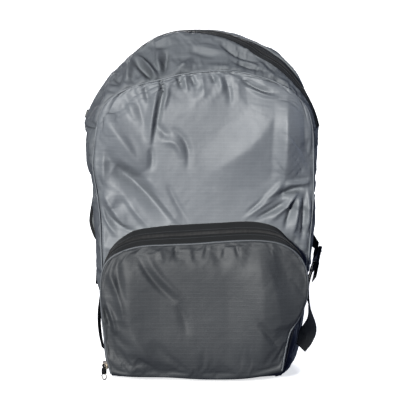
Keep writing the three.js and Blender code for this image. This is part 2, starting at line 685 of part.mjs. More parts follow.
function webbingCourse(table) {
  const points = table.map(({ station, depth, lift }) => {
    const standoff = WEBBING / 2 + CLEARANCE + lift * WEBBING_WIDTH;
    return gussetPoint(station, depth).addScaledVector(gussetNormal(station, depth), standoff);
  });
  const line = curveThrough(points);
  const normals = curveThrough(table.map(({ station, depth }) => gussetNormal(station, depth)));
  const twists = curveThrough(table.map(({ twist }) => new THREE.Vector3(twist, 0, 0))).getPoints(WEBBING_STEPS);
  const path = line.getPoints(WEBBING_STEPS);
  const directions = normals.getPoints(WEBBING_STEPS).map((normal, i) => {
    const tangent = line.getTangent(i / WEBBING_STEPS);
    const flat = tangent.clone().cross(normal).normalize();
    return flat.applyAxisAngle(tangent, THREE.MathUtils.degToRad(twists[i].x));
  });
  return { path, directions, start: line.getTangent(0) };
}

// The buckle's own directions: up its length, across its width and out of its face.
function buckleFrame(table) {
  const { path, directions, start } = webbingCourse(table);
  const up = start.clone().negate();
  const across = directions[0].clone();
  const out = up.clone().cross(across).normalize();
  const centre = path[0].clone().addScaledVector(up, OUTER_BAR + TURN_REACH).addScaledVector(out, TURN_RISE);
  return { up, across, out, centre };
}

function atBuckle({ up, across, out, centre }, x, y, z) {
  return centre.clone().addScaledVector(across, x).addScaledVector(out, y).addScaledVector(up, z);
}

function buckleMatrix({ up, across, out, centre }) {
  return new THREE.Matrix4().makeBasis(across, out, up).setPosition(centre);
}

function rectangle(width, height, x = 0, z = 0) {
  const path = new THREE.Path();
  path.moveTo(x - width / 2, z - height / 2);
  path.lineTo(x + width / 2, z - height / 2);
  path.lineTo(x + width / 2, z + height / 2);
  path.lineTo(x - width / 2, z + height / 2);
  path.closePath();
  return path;
}

function roundedRectangle(width, height, radius) {
  const shape = new THREE.Shape();
  const x = width / 2 - radius;
  const z = height / 2 - radius;
  shape.absarc(x, -z, radius, -Math.PI / 2, 0);
  shape.absarc(x, z, radius, 0, Math.PI / 2);
  shape.absarc(-x, z, radius, Math.PI / 2, Math.PI);
  shape.absarc(-x, -z, radius, Math.PI, 1.5 * Math.PI);
  return shape;
}

// A plate in the XZ plane, with its thickness shared to both sides of it.
function plate(shape, thickness, curveSegments = 3) {
  const geometry = new THREE.ExtrudeGeometry(shape, { depth: thickness, bevelEnabled: false, curveSegments });
  return geometry.translate(0, 0, -thickness / 2).rotateX(Math.PI / 2);
}

function buckle(table) {
  const shape = roundedRectangle(BUCKLE_WIDTH, BUCKLE_LENGTH, BUCKLE_BAR * 0.7);
  const slotMiddle = (BUCKLE_BAR + BUCKLE_SLOT) / 2;
  const slotWidth = BUCKLE_WIDTH - 2 * BUCKLE_BAR;
  shape.holes.push(rectangle(slotWidth, BUCKLE_SLOT, 0, slotMiddle));
  shape.holes.push(rectangle(slotWidth, BUCKLE_SLOT, 0, -slotMiddle));
  return plate(shape, BUCKLE_THICKNESS).applyMatrix4(buckleMatrix(buckleFrame(table)));
}

// The turn of a webbing round an outer bar, in the buckle's own directions. end is 1 for the upper bar, -1 for the lower.
function turnRoundBar(frame, end) {
  const radius = CLEARANCE + WEBBING / 2;
  const barEdge = OUTER_BAR - BUCKLE_BAR / 2;
  const quarter = [0, Math.PI / 4, Math.PI / 2];
  const arc = (face, angle) => atBuckle(
    frame, 0, face * (BUCKLE_THICKNESS / 2 + radius * Math.cos(angle)), end * (barEdge - radius * Math.sin(angle)),
  );
  const approach = atBuckle(frame, 0, -TURN_RISE, end * (OUTER_BAR + 2 * TURN_REACH));
  const under = quarter.map((angle) => arc(-1, angle));
  const over = quarter.toReversed().map((angle) => arc(1, angle));
  return [approach, ...under, ...over];
}

function lowerWebbing(table) {
  const { path, directions } = webbingCourse(table);
  const frame = buckleFrame(table);
  const turn = turnRoundBar(frame, -1).slice(1);
  const tail = atBuckle(frame, 0, TURN_RISE, -OUTER_BAR - WEBBING_TAIL);
  const whole = [tail, ...turn.reverse(), ...path];
  const widths = [...Array(turn.length + 1).fill(frame.across), ...directions];
  return ribbon(whole, widths, WEBBING_WIDTH, WEBBING);
}

// The upper webbing is sewn to the pad's lower end and turns round the buckle's upper bar.
const UPPER_WEBBING_SEAT = 0.3; // its place across the pad, as a share of the pad's width, outward
function upperWebbing(side, padTable, table) {
  const frame = buckleFrame(table);
  const pad = padCourse(side, padTable);
  const end = pad.path.at(-1);
  const downward = end.clone().sub(pad.path.at(-2)).normalize();
  const padWidth = pad.directions.at(-1);
  const seat = end.clone().addScaledVector(padWidth, UPPER_WEBBING_SEAT * PAD_WIDTH);
  const start = seat.clone().addScaledVector(downward, CLEARANCE);
  const below = seat.clone().addScaledVector(downward, BUCKLE_BAR);
  const likeBuckle = padWidth.clone().multiplyScalar(Math.sign(frame.across.dot(padWidth)));
  const turn = turnRoundBar(frame, 1);
  const widths = [likeBuckle, likeBuckle, ...Array(turn.length).fill(frame.across)];
  return ribbon([start, below, ...turn], widths, WEBBING_WIDTH, WEBBING);
}

// Zip hardware

function solidOf(geometry) {
  const bare = geometry.clone();
  bare.deleteAttribute('normal');
  bare.deleteAttribute('uv');
  const merged = mergeVertices(bare, 1e-4);
  return new wasm.Manifold(new wasm.Mesh({
    numProp: 3,
    vertProperties: new Float32Array(merged.attributes.position.array),
    triVerts: new Uint32Array(merged.index.array),
  }));
}

function geometryOf(solid) {
  const { vertProperties, triVerts } = solid.getMesh();
  return closedGeometry(Array.from(vertProperties), Array.from(triVerts));
}

function cylinderAcross(diameter, length, sides) {
  return new THREE.CylinderGeometry(diameter / 2, diameter / 2, length, sides).rotateZ(Math.PI / 2);
}

// The slider's own directions: X across it, -Y out of its face and Z up the zip. The hinge pin is on its X axis.
const PIN_HEIGHT = PULL_THICKNESS / 2 + CLEARANCE + SLIDER_PLATE / 2; // pin to the middle of the slider's plate
const EAR_GAP = PULL_NECK + 2 * CLEARANCE;
const EAR_REACH = PIN_DIAMETER / 2 + EAR_THICKNESS / 2;

function pocketSlider() {
  const body = solidOf(plate(roundedRectangle(SLIDER_WIDTH, SLIDER_LENGTH, SLIDER_WIDTH / 4), SLIDER_PLATE)
    .translate(0, PIN_HEIGHT, 0));
  const pin = solidOf(cylinderAcross(PIN_DIAMETER, EAR_GAP + EAR_THICKNESS, 12));
  const earDepth = PIN_HEIGHT + EAR_REACH;
  const ears = [-1, 1].map((side) => solidOf(
    new THREE.BoxGeometry(EAR_THICKNESS, earDepth, 2 * EAR_REACH)
      .translate(side * (EAR_GAP + EAR_THICKNESS) / 2, earDepth / 2 - EAR_REACH, 0),
  ));
  return geometryOf(ears.reduce((sum, ear) => sum.add(ear), body).add(pin));
}

const RING_DROP = PULL_LENGTH + RING_HEIGHT / 2 - RING_WIRE * 1.5; // hinge pin to the middle of the ring

function ring(wire) {
  const radius = (RING_WIDTH - RING_WIRE) / 2;
  const stretch = (RING_HEIGHT - RING_WIRE) / (RING_WIDTH - RING_WIRE);
  return new THREE.TorusGeometry(radius, wire / 2, 8, 24)
    .scale(1, stretch, 1)
    .rotateX(Math.PI / 2)
    .translate(0, 0, -RING_DROP);
}

function pocketPull() {
  const knuckle = solidOf(cylinderAcross(PULL_THICKNESS, PULL_NECK, 16));
  const neckLength = PULL_NECK_LENGTH + RING_WIRE;
  const neck = solidOf(new THREE.BoxGeometry(PULL_NECK, PULL_THICKNESS, neckLength).translate(0, 0, -neckLength / 2));
  const bodyLength = PULL_LENGTH - PULL_NECK_LENGTH;
  const body = solidOf(plate(roundedRectangle(PULL_WIDTH, bodyLength, PULL_WIDTH / 4), PULL_THICKNESS)
    .translate(0, 0, -PULL_NECK_LENGTH - bodyLength / 2));
  const bore = solidOf(cylinderAcross(PIN_DIAMETER + 2 * CLEARANCE, 2 * PULL_NECK, 12));
  const ringSpace = solidOf(ring(RING_WIRE + 2 * CLEARANCE));
  return geometryOf(knuckle.add(neck).add(body).subtract(bore).subtract(ringSpace));
}

// Where the pocket slider's hinge pin is: out from the band's coil, clear of it however the slider faces.
function pinPlace() {
  const seat = bandPoint(POCKET_SLIDER_STATION, 0.5);
  const edge = bandPoint(POCKET_SLIDER_STATION, 0);
  const base = bandPoint(POCKET_SLIDER_STATION, 1);
  const bandOut = new THREE.Vector3(edge.y - base.y, base.x - edge.x, 0).normalize();
  const facing = new THREE.Vector3(-Math.sin(SLIDER_FACING), -Math.cos(SLIDER_FACING), 0);
  const tilt = Math.sqrt(1 - bandOut.dot(facing) ** 2);
  const standoff = COIL_HEIGHT + 3 * CLEARANCE + SLIDER_PLATE / 2 + (SLIDER_WIDTH / 2) * tilt;
  return seat.addScaledVector(bandOut, standoff).addScaledVector(facing, PIN_HEIGHT);
}

// The main zip's slider rests on the closed coil at the left end of the zip, out of sight from the front.
const MAIN_SLIDER_STATION = 27.1;
function mainSlider() {
  const depth = courseDepth(MAIN_SLIDER_STATION);
  const out = gussetNormal(MAIN_SLIDER_STATION, depth);
  const up = gussetPoint(MAIN_SLIDER_STATION - 0.2, depth)
    .sub(gussetPoint(MAIN_SLIDER_STATION + 0.2, depth)).normalize();
  const across = out.clone().cross(up).normalize();
  const lift = COIL_HEIGHT + 2 * CLEARANCE + SLIDER_PLATE / 2;
  const centre = gussetPoint(MAIN_SLIDER_STATION, depth).addScaledVector(out, lift);
  return plate(roundedRectangle(SLIDER_WIDTH, SLIDER_LENGTH, SLIDER_WIDTH / 4), SLIDER_PLATE)
    .applyMatrix4(new THREE.Matrix4().makeBasis(across, out, across.clone().cross(out)).setPosition(centre));
}

// Assembly

function piece(name, geometry, material, parent) {
  const made = new THREE.Mesh(geometry, material);
  made.name = name;
  parent.add(made);
}

const front = () => 0;
const back = () => 1;
const endOfLoop = BODY.length;
const backpack = new THREE.Group();

piece('front_panel', frontPanel(), cloth, backpack);
piece('back_panel', backPanel(), cloth, backpack);
piece('gusset_front', gussetPiece(ZIP_END_RIGHT, ZIP_END_LEFT, front, (s) => zipFront(s), 4), cloth, backpack);
piece('gusset_rear', gussetPiece(ZIP_END_RIGHT, ZIP_END_LEFT, (s) => zipBack(s), back, 3), cloth, backpack);
piece('main_zip', mainZip(), zipTape, backpack);
piece('main_zip_slider', mainSlider(), plastic, backpack);
piece('side_panel_right', gussetPiece(BOTTOM_RIGHT, ZIP_END_RIGHT, front, back, 8), cloth, backpack);
piece('side_panel_left', gussetPiece(ZIP_END_LEFT, BOTTOM_LEFT, front, back, 8), cloth, backpack);
piece('bottom_panel', gussetPiece(BOTTOM_LEFT, BOTTOM_RIGHT + endOfLoop, front, back, 8), cloth, backpack);
piece('pocket_panel', pocketPanel(), darkCloth, backpack);
piece('pocket_zip', pocketZip(), zipTape, backpack);

for (const [name, side, pad, table] of [['right', 1, RIGHT_PAD, RIGHT_WEBBING], ['left', -1, LEFT_PAD, LEFT_WEBBING]]) {
  piece(`shoulder_pad_${name}`, shoulderPad(side, pad), padMesh, backpack);
  piece(`upper_webbing_${name}`, upperWebbing(side, pad, table), webbing, backpack);
  piece(`buckle_${name}`, buckle(table), plastic, backpack);
  piece(`lower_webbing_${name}`, lowerWebbing(table), webbing, backpack);
}

const zipHardware = new THREE.Group();
zipHardware.position.copy(pinPlace());
zipHardware.rotation.z = -SLIDER_FACING;
backpack.add(zipHardware);
piece('pocket_slider', pocketSlider(), metal, zipHardware);
piece('pocket_pull', pocketPull(), plastic, zipHardware);
piece('pull_ring', ring(RING_WIRE), metal, zipHardware);

export default backpack;
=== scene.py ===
import math

import bpy
import numpy as np
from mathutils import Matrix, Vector, noise


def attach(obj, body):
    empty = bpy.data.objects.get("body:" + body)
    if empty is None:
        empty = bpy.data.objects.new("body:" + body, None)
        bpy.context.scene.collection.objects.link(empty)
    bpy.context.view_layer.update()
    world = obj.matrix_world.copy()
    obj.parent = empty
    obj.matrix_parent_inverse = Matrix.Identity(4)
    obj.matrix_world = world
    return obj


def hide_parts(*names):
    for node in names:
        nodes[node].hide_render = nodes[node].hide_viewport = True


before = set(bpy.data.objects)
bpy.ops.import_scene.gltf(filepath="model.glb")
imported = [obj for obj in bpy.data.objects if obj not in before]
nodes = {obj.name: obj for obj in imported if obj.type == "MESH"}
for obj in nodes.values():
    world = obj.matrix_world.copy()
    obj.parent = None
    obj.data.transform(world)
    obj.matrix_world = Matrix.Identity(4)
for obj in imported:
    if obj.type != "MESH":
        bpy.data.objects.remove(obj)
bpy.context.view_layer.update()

# Driving dimensions, the same as the frame's
MM = 0.001
HEIGHT = 412 * MM
HALF_WIDTH = 144 * MM
HALF_DEPTH = 50 * MM
FRONT_CROWN = 16 * MM
BACK_CROWN = 8 * MM
CLOTH = 1.5 * MM
CLEARANCE = 0.3 * MM
MAIN_ZIP_WIDTH = 24 * MM
POCKET_HEIGHT = 196 * MM
POCKET_DEPTH = 34 * MM
POCKET_CROWN = 8 * MM
COIL_HEIGHT = 1.4 * MM
PAD_WIDTH = 58 * MM
PAD_THICKNESS = 6 * MM
STRAP_STANDOFF = 12 * MM
WEBBING_WIDTH = 22 * MM
WEBBING = 1.5 * MM
BUCKLE_THICKNESS = 3.5 * MM
BUCKLE_BAR = 4.5 * MM
BUCKLE_SLOT = 6 * MM
WEBBING_TAIL = 16 * MM

# Stations along the body's loop
BOTTOM_RIGHT = 2.5
ZIP_END_RIGHT = 12
TOP_RIGHT = 15
TOP_LEFT = 24
ZIP_END_LEFT = 27.5
BOTTOM_LEFT = 36.5
PANEL_CORNER_RIGHT = 2
PANEL_CORNER_LEFT = 37
BACK_SEAM_WIDTH = 0.955
BACK_SEAM_HEIGHT = 0.93
POCKET_ZIP_START = 0.15
POCKET_ZIP_END = 21.85
POCKET_CORNER_LEFT = 7
POCKET_CORNER_RIGHT = 15

# Camera and photograph: the pack is seen from its front and 10 degrees above, 3 m away.
PHOTO_SIZE = 400
SENSOR = 36
FOCAL = 224.5
CAMERA_DISTANCE = 3.0
CAMERA_ELEVATION = math.radians(10)
CAMERA_TARGET = Vector((-3.6 * MM, 0, 207.5 * MM))


def named(columns, rows):
    return {name: np.array([row[i] for row in rows], float) for i, name in enumerate(columns)}


def rows_of(table):
    return [dict(zip(table, row)) for row in zip(*table.values())]


# The frame's tables: shares of HALF_WIDTH and HEIGHT, or of HALF_WIDTH and POCKET_HEIGHT.
BODY = named(["outline_x", "outline_z", "seam_x", "seam_z"], [
    [0, 0, 0, 0.007],
    [0.36, 0, 0.34, 0.007],
    [0.64, 0, 0.6, 0.007],
    [0.778, 0.017, 0.68, 0.024],
    [0.833, 0.057, 0.735, 0.066],
    [0.865, 0.124, 0.785, 0.132],
    [0.882, 0.214, 0.828, 0.219],
    [0.896, 0.314, 0.861, 0.317],
    [0.903, 0.41, 0.881, 0.411],
    [0.927, 0.505, 0.902, 0.504],
    [0.972, 0.595, 0.906, 0.589],
    [0.986, 0.664, 0.902, 0.662],
    [0.952, 0.73, 0.896, 0.723],
    [0.895, 0.792, 0.862, 0.779],
    [0.824, 0.846, 0.795, 0.815],
    [0.727, 0.894, 0.694, 0.845],
    [0.598, 0.934, 0.569, 0.869],
    [0.462, 0.958, 0.42, 0.886],
    [0.312, 0.978, 0.272, 0.896],
    [0.15, 0.994, 0.123, 0.898],
    [-0.042, 1, -0.034, 0.895],
    [-0.222, 0.995, -0.191, 0.887],
    [-0.375, 0.98, -0.328, 0.875],
    [-0.52, 0.95, -0.451, 0.865],
    [-0.63, 0.908, -0.581, 0.852],
    [-0.757, 0.872, -0.697, 0.832],
    [-0.87, 0.822, -0.799, 0.803],
    [-0.952, 0.765, -0.85, 0.762],
    [-1, 0.69, -0.885, 0.695],
    [-0.997, 0.619, -0.902, 0.621],
    [-0.938, 0.538, -0.871, 0.545],
    [-0.885, 0.469, -0.847, 0.469],
    [-0.868, 0.381, -0.84, 0.383],
    [-0.868, 0.281, -0.83, 0.284],
    [-0.868, 0.176, -0.827, 0.181],
    [-0.847, 0.076, -0.806, 0.085],
    [-0.812, 0.019, -0.765, 0.031],
    [-0.694, 0, -0.649, 0.007],
    [-0.36, 0, -0.342, 0.007],
])
STATIONS = len(BODY["seam_x"])
POCKET = named(["edge_x", "edge_z", "base_x", "base_z"], [
    [-0.755, 0.07, -0.735, 0.06],
    [-0.788, 0.17, -0.775, 0.165],
    [-0.81, 0.31, -0.79, 0.304],
    [-0.83, 0.456, -0.795, 0.451],
    [-0.837, 0.601, -0.8, 0.618],
    [-0.817, 0.708, -0.79, 0.755],
    [-0.759, 0.776, -0.735, 0.833],
    [-0.655, 0.82, -0.626, 0.902],
    [-0.513, 0.849, -0.504, 0.941],
    [-0.311, 0.859, -0.3, 0.963],
    [-0.081, 0.866, -0.082, 0.975],
    [0.135, 0.878, 0.136, 0.983],
    [0.324, 0.886, 0.313, 0.99],
    [0.5, 0.883, 0.463, 0.983],
    [0.628, 0.866, 0.599, 0.949],
    [0.729, 0.827, 0.694, 0.88],
    [0.807, 0.762, 0.776, 0.804],
    [0.847, 0.679, 0.815, 0.716],
    [0.851, 0.553, 0.818, 0.569],
    [0.793, 0.426, 0.785, 0.431],
    [0.716, 0.329, 0.755, 0.314],
    [0.682, 0.232, 0.725, 0.216],
    [0.648, 0.085, 0.67, 0.075],
])
POCKET_SPANS = len(POCKET["edge_x"]) - 1
POCKET_HEM = named(["x", "z"], [
    [-0.755, 0.07],
    [-0.6, 0.05],
    [-0.3, 0.046],
    [0, 0.034],
    [0.3, 0.036],
    [0.5, 0.055],
    [0.648, 0.085],
])
MAIN_ZIP_COURSE = named(["station", "depth"], [
    [12, 0.27],
    [14.5, 0.24],
    [16, 0.29],
    [17.5, 0.39],
    [20, 0.52],
    [24, 0.64],
    [27.5, 0.74],
])
GUSSET_FOLDS = named(["station1", "depth1", "station2", "depth2", "width", "height"], [
    [23.4, 0.05, 24.1, 0.45, 0.5, 0.09],
    [22.8, 0.12, 22.9, 0.4, 0.5, -0.1],
    [21.8, 0.1, 21, 0.4, 0.45, 0.06],
    [24.9, 0.15, 25, 0.5, 0.4, 0.06],
    [17.6, 0.2, 16.2, 0.32, 0.4, -0.07],
    [13.5, 0.15, 11.5, 0.3, 0.4, 0.05],
    [28.5, 0.2, 29.6, 0.35, 0.5, -0.06],
    [8.6, 0.2, 9.6, 0.3, 0.4, -0.07],
    [33.2, 0.1, 34.4, 0.3, 0.5, 0.06],
    [5.2, 0.3, 6.6, 0.4, 0.5, 0.05],
])
STATION_PITCH = 0.28  # usual distance between stations as a share of the gusset's depth
RIGHT_PAD = named(["out", "z", "lift", "turn"], [
    [0.26, 0.9, 0, 0],
    [0.29, 0.855, 0.6, 0],
    [0.38, 0.77, 1, 4],
    [0.52, 0.65, 1.1, 8],
    [0.63, 0.52, 1, 14],
    [0.7, 0.4, 0.6, 24],
])
LEFT_PAD = named(["out", "z", "lift", "turn"], [
    [0.26, 0.9, 0, 0],
    [0.29, 0.855, 0.6, 0],
    [0.4, 0.77, 1, 4],
    [0.56, 0.65, 1.1, 8],
    [0.7, 0.52, 1, 12],
    [0.765, 0.42, 0.8, 18],
    [0.73, 0.34, 0.6, 24],
])
# The right webbing's free end is turned further than the frame's and lies closer, as in the photograph.
RIGHT_WEBBING = named(["station", "depth", "lift", "twist"], [
    [6.75, 0.9, 0.34, 0],
    [6.2, 0.78, 0.06, 0],
    [5.7, 0.58, 0.1, 14],
    [5.25, 0.38, 0.22, 36],
    [4.85, 0.2, 0.14, 50],
    [4.5, 0.06, 0.06, 54],
])
LEFT_WEBBING = named(["station", "depth", "lift", "twist"], [
    [33.1, 0.95, 0.06, 0],
    [33.7, 0.88, 0.04, 0],
    [34.3, 0.74, 0.12, 0],
    [34.8, 0.68, 0.1, 0],
    [35.3, 0.62, 0.005, 0],
])

# Folds that the photograph shows, each a curve through three places in its pixels. left and right are the
# fold's widths in pixels on the two sides of its direction. height is in millimetres, under 0 for a valley.
FOLD_COLUMNS = ["x1", "y1", "x2", "y2", "x3", "y3", "left", "right", "height"]
FRONT_FOLDS = named(FOLD_COLUMNS, [
    [276, 98, 259, 138, 204, 176, 34, 30, 4.2],
    [287, 96, 285, 143, 284, 184, 30, 12, 6.6],
    [100, 106, 119, 134, 147, 172, 18, 26, 6.4],
    [104, 148, 122, 172, 152, 178, 10, 10, -2.4],
    [166, 80, 160, 106, 153, 143, 5, 4, -2.8],
    [160, 82, 154, 112, 150, 147, 3, 8, 3.2],
    [166, 84, 166, 98, 160, 112, 4, 5, 2.0],
    [155, 122, 162, 132, 171, 138, 7, 6, -2.2],
    [170, 128, 186, 144, 187, 170, 6, 4, -1.6],
    [162, 142, 176, 144, 182, 160, 7, 6, 2.2],
    [150, 148, 152, 158, 150, 172, 5, 5, -1.8],
    [124, 132, 134, 146, 138, 160, 6, 5, -0.8],
    [112, 168, 138, 188, 172, 224, 12, 14, -7.4],
    [103, 190, 116, 211, 132, 232, 10, 8, 4.2],
    [124, 196, 136, 212, 152, 230, 4, 5, 1.4],
    [150, 188, 164, 206, 182, 226, 6, 5, 1.8],
    [168, 184, 176, 202, 190, 224, 5, 5, -1.4],
    [281, 182, 274, 192, 256, 206, 5, 4, 2.4],
    [284, 184, 296, 184, 312, 181, 5, 5, 3.2],
    [279, 198, 289, 191, 304, 187, 5, 5, -4.6],
    [286, 202, 270, 212, 256, 219, 3, 4, -3.4],
    [276, 198, 262, 206, 244, 219, 3, 3, 1.6],
    [266, 196, 258, 204, 246, 214, 3, 3, -1.6],
    [297, 190, 287, 205, 270, 220, 4, 4, 3.4],
    [293, 199, 290, 213, 285, 228, 4, 4, -3.2],
    [299, 196, 297, 212, 293, 234, 4, 4, 2.8],
    [304, 196, 304, 215, 302, 238, 3, 3, -2.6],
    [308, 190, 309, 212, 308, 236, 3, 3, 2.4],
    [240, 78, 257, 88, 274, 93, 5, 4, -3.2],
    [246, 84, 262, 94, 279, 98, 4, 4, 1.8],
    [160, 76, 162, 86, 164, 94, 3, 3, -2.4],
    [178, 74, 180, 82, 182, 89, 4, 4, -2.6],
    [190, 73, 193, 80, 196, 86, 3, 4, -2.6],
    [210, 73, 213, 78, 214, 84, 4, 4, -2.8],
    [224, 74, 229, 88, 230, 106, 4, 5, -2.0],
    [185, 74, 186, 83, 188, 93, 3, 3, 1.6],
    [201, 74, 203, 84, 204, 98, 5, 5, 1.6],
    [219, 74, 221, 84, 222, 94, 4, 4, 1.4],
    [144, 84, 146, 93, 149, 104, 4, 4, -2.0],
    [124, 92, 130, 106, 136, 122, 6, 6, 1.4],
    [134, 92, 140, 110, 144, 128, 5, 5, -1.2],
    [104, 150, 104, 166, 104, 184, 5, 6, 2.0],
    [107, 214, 122, 227, 140, 233, 5, 4, -2.2],
    [100, 205, 108, 222, 118, 236, 4, 5, 2.4],
    [300, 104, 304, 130, 304, 158, 6, 6, -1.2],
])
POCKET_FOLDS = named(FOLD_COLUMNS, [
    [258, 248, 264, 300, 262, 366, 46, 34, 4.6],
    [134, 254, 128, 300, 136, 368, 30, 26, 3.4],
    [138, 254, 152, 280, 178, 304, 8, 4, -1.9],
    [146, 252, 160, 276, 186, 300, 5, 8, 1.2],
    [118, 256, 118, 278, 122, 304, 7, 6, -1.8],
    [106, 270, 118, 294, 124, 324, 5, 6, 2.2],
    [103, 306, 107, 316, 111, 330, 4, 4, -3.6],
    [103, 296, 112, 318, 116, 336, 4, 5, 1.8],
    [175, 247, 176, 254, 177, 262, 3, 3, -1.3],
    [207, 246, 206, 252, 204, 260, 3, 3, -1.3],
    [236, 244, 237, 250, 239, 258, 3, 3, -1.3],
    [190, 247, 191, 254, 191, 262, 4, 4, 0.9],
    [221, 245, 221, 252, 220, 260, 4, 4, 0.9],
    [160, 249, 161, 256, 163, 264, 4, 4, 0.8],
    [258, 322, 268, 334, 280, 350, 6, 5, -1.8],
    [128, 326, 142, 350, 156, 370, 10, 10, 1.2],
    [150, 340, 160, 352, 172, 362, 8, 8, -0.9],
    [264, 258, 276, 290, 282, 330, 14, 14, 1.2],
    [176, 304, 184, 318, 186, 336, 8, 8, -1.2],
])
GUSSET_CREASES = named(FOLD_COLUMNS, [
    [136, 57, 151, 69, 161, 87, 4, 5, 5.4],
    [134, 62, 146, 72, 154, 84, 6, 5, -5.6],
    [132, 58, 130, 71, 127, 85, 3, 5, 4.2],
    [124, 62, 120, 76, 118, 90, 4, 5, -2.2],
    [167, 50, 165, 62, 163, 76, 5, 5, -5.0],
    [160, 48, 158, 58, 160, 70, 4, 4, 2.4],
    [174, 76, 182, 67, 194, 59, 4, 5, 4.0],
    [180, 78, 192, 70, 206, 66, 4, 4, -2.0],
    [188, 50, 202, 54, 216, 57, 5, 4, -1.8],
    [198, 46, 214, 50, 228, 52, 4, 4, 1.6],
    [222, 44, 236, 54, 256, 62, 4, 4, -2.8],
    [236, 46, 250, 52, 264, 56, 3, 3, 2.2],
    [230, 60, 246, 66, 262, 70, 3, 3, -2.2],
    [240, 62, 254, 66, 268, 74, 4, 3, 1.8],
    [256, 60, 268, 72, 280, 82, 4, 4, 2.8],
    [262, 66, 276, 80, 290, 92, 4, 4, -2.2],
    [284, 84, 294, 96, 302, 108, 4, 4, 2.0],
    [118, 72, 110, 84, 106, 98, 5, 5, 2.4],
    [110, 76, 102, 90, 98, 104, 4, 4, -1.8],
    [94, 130, 96, 150, 95, 172, 3, 4, -2.6],
    [88, 136, 89, 156, 90, 180, 3, 3, 1.8],
    [92, 176, 95, 188, 100, 200, 4, 4, -3.0],
    [86, 120, 92, 124, 100, 125, 2, 3, -2.6],
    [206, 66, 222, 68, 238, 72, 4, 4, 1.6],
    [148, 44, 160, 46, 172, 44, 5, 5, -1.6],
])

# Surfaces


def catmull(points, places, closed=False):
    """Points of a Catmull-Rom curve through points, at station numbers."""
    places = np.asarray(places, float)
    if closed:
        first = np.floor(places).astype(int)
        a, b, c, d = [points[(first + k) % len(points)] for k in (-1, 0, 1, 2)]
    else:
        first = np.clip(np.floor(places).astype(int), 0, len(points) - 2)
        ended = np.vstack([2 * points[0] - points[1], points, 2 * points[-1] - points[-2]])
        a, b, c, d = [ended[first + k] for k in range(4)]
    t = (places - first)[..., None]
    start = (c - a) / 2
    end = (d - b) / 2
    return (2 * b - 2 * c + start + end) * t**3 + (3 * c - 3 * b - 2 * start - end) * t**2 + start * t + b


def unit(vectors):
    return vectors / np.maximum(np.linalg.norm(vectors, axis=-1, keepdims=True), 1e-12)


def lerp(a, b, share):
    return a + (b - a) * share


def columns(x, y, z):
    return np.stack(np.broadcast_arrays(x, y, z), -1).astype(float)


def hump(offset, width):
    """A smooth rise to 1 where offset is 0."""
    return np.exp(-((offset / width) ** 2))


def rounded(values, power):
    return np.sign(values) * np.abs(values) ** power


def distances(path):
    """How far along a path each of its points is."""
    return np.concatenate([[0], np.cumsum(np.linalg.norm(np.diff(path, axis=0), axis=1))])


OUTLINE = columns(BODY["outline_x"] * HALF_WIDTH, 0, BODY["outline_z"] * HEIGHT)
FRONT_SEAM = columns(BODY["seam_x"] * HALF_WIDTH, -HALF_DEPTH, BODY["seam_z"] * HEIGHT)
SEAM_LIFT = BODY["seam_z"][0] * HEIGHT
FLOOR_PRESS = 0.3  # the share of the lowest seam's height in which the floor presses the bottom flat
EDGE_Y = -(HALF_DEPTH + POCKET_DEPTH)
POCKET_EDGE = columns(POCKET["edge_x"] * HALF_WIDTH, EDGE_Y, POCKET["edge_z"] * POCKET_HEIGHT)
POCKET_BASE = columns(POCKET["base_x"] * HALF_WIDTH, 0, POCKET["base_z"] * POCKET_HEIGHT)
HEM = columns(POCKET_HEM["x"] * HALF_WIDTH, EDGE_Y, POCKET_HEM["z"] * POCKET_HEIGHT)


def seam_point(station):
    point = catmull(FRONT_SEAM, station, True)
    point[..., 2] = np.maximum(point[..., 2], SEAM_LIFT)
    return point


def back_seam_point(station):
    point = catmull(OUTLINE, station, True)
    point[..., 0] *= BACK_SEAM_WIDTH
    point[..., 1] = HALF_DEPTH
    point[..., 2] = SEAM_LIFT + np.maximum(point[..., 2], 0) * BACK_SEAM_HEIGHT
    return point


def segment_share(ax, ay, x1, y1, x2, y2):
    dx = x2 - x1
    dy = y2 - y1
    held = np.clip(((ax - x1) * dx + (ay - y1) * dy) / (dx * dx + dy * dy), 0, 1)
    return held, np.hypot(ax - x1 - held * dx, ay - y1 - held * dy)


def gusset_point(station, depth):
    """A point of the gusset: depth 0 is at the front seam and 1 at the back seam."""
    station, depth = np.broadcast_arrays(np.asarray(station, float), np.asarray(depth, float))
    crest = catmull(OUTLINE, station, True)
    ahead = catmull(OUTLINE, station + 0.1, True) - catmull(OUTLINE, station - 0.1, True)
    outward = unit(columns(ahead[..., 2], 0, -ahead[..., 0]))
    seam = np.where((depth < 0.5)[..., None], seam_point(station), back_seam_point(station))
    point = lerp(crest, seam, (np.abs(2 * depth - 1) ** 2)[..., None])
    height = np.zeros_like(depth)
    for fold in rows_of(GUSSET_FOLDS):
        held, distance = segment_share(
            station * STATION_PITCH, depth, fold["station1"] * STATION_PITCH, fold["depth1"],
            fold["station2"] * STATION_PITCH, fold["depth2"])
        along = 0.5 + 0.5 * np.sin(np.pi * held)
        height += fold["height"] * HALF_DEPTH * along * hump(distance, fold["width"] * STATION_PITCH)
    point += outward * (height * np.sin(np.pi * np.clip(depth, 0, 1)))[..., None]
    point[..., 1] = (2 * depth - 1) * (HALF_DEPTH - CLOTH - CLEARANCE)
    pressed = np.maximum((point[..., 2] - FLOOR_PRESS * SEAM_LIFT) / (1 - FLOOR_PRESS), 0)
    point[..., 2] = np.where(point[..., 2] < SEAM_LIFT, pressed, point[..., 2])
    return point


def gusset_normal(station, depth):
    along = gusset_point(station + 0.2, depth) - gusset_point(station - 0.2, depth)
    back = gusset_point(station, depth + 0.02) - gusset_point(station, depth - 0.02)
    return unit(np.cross(back, along))


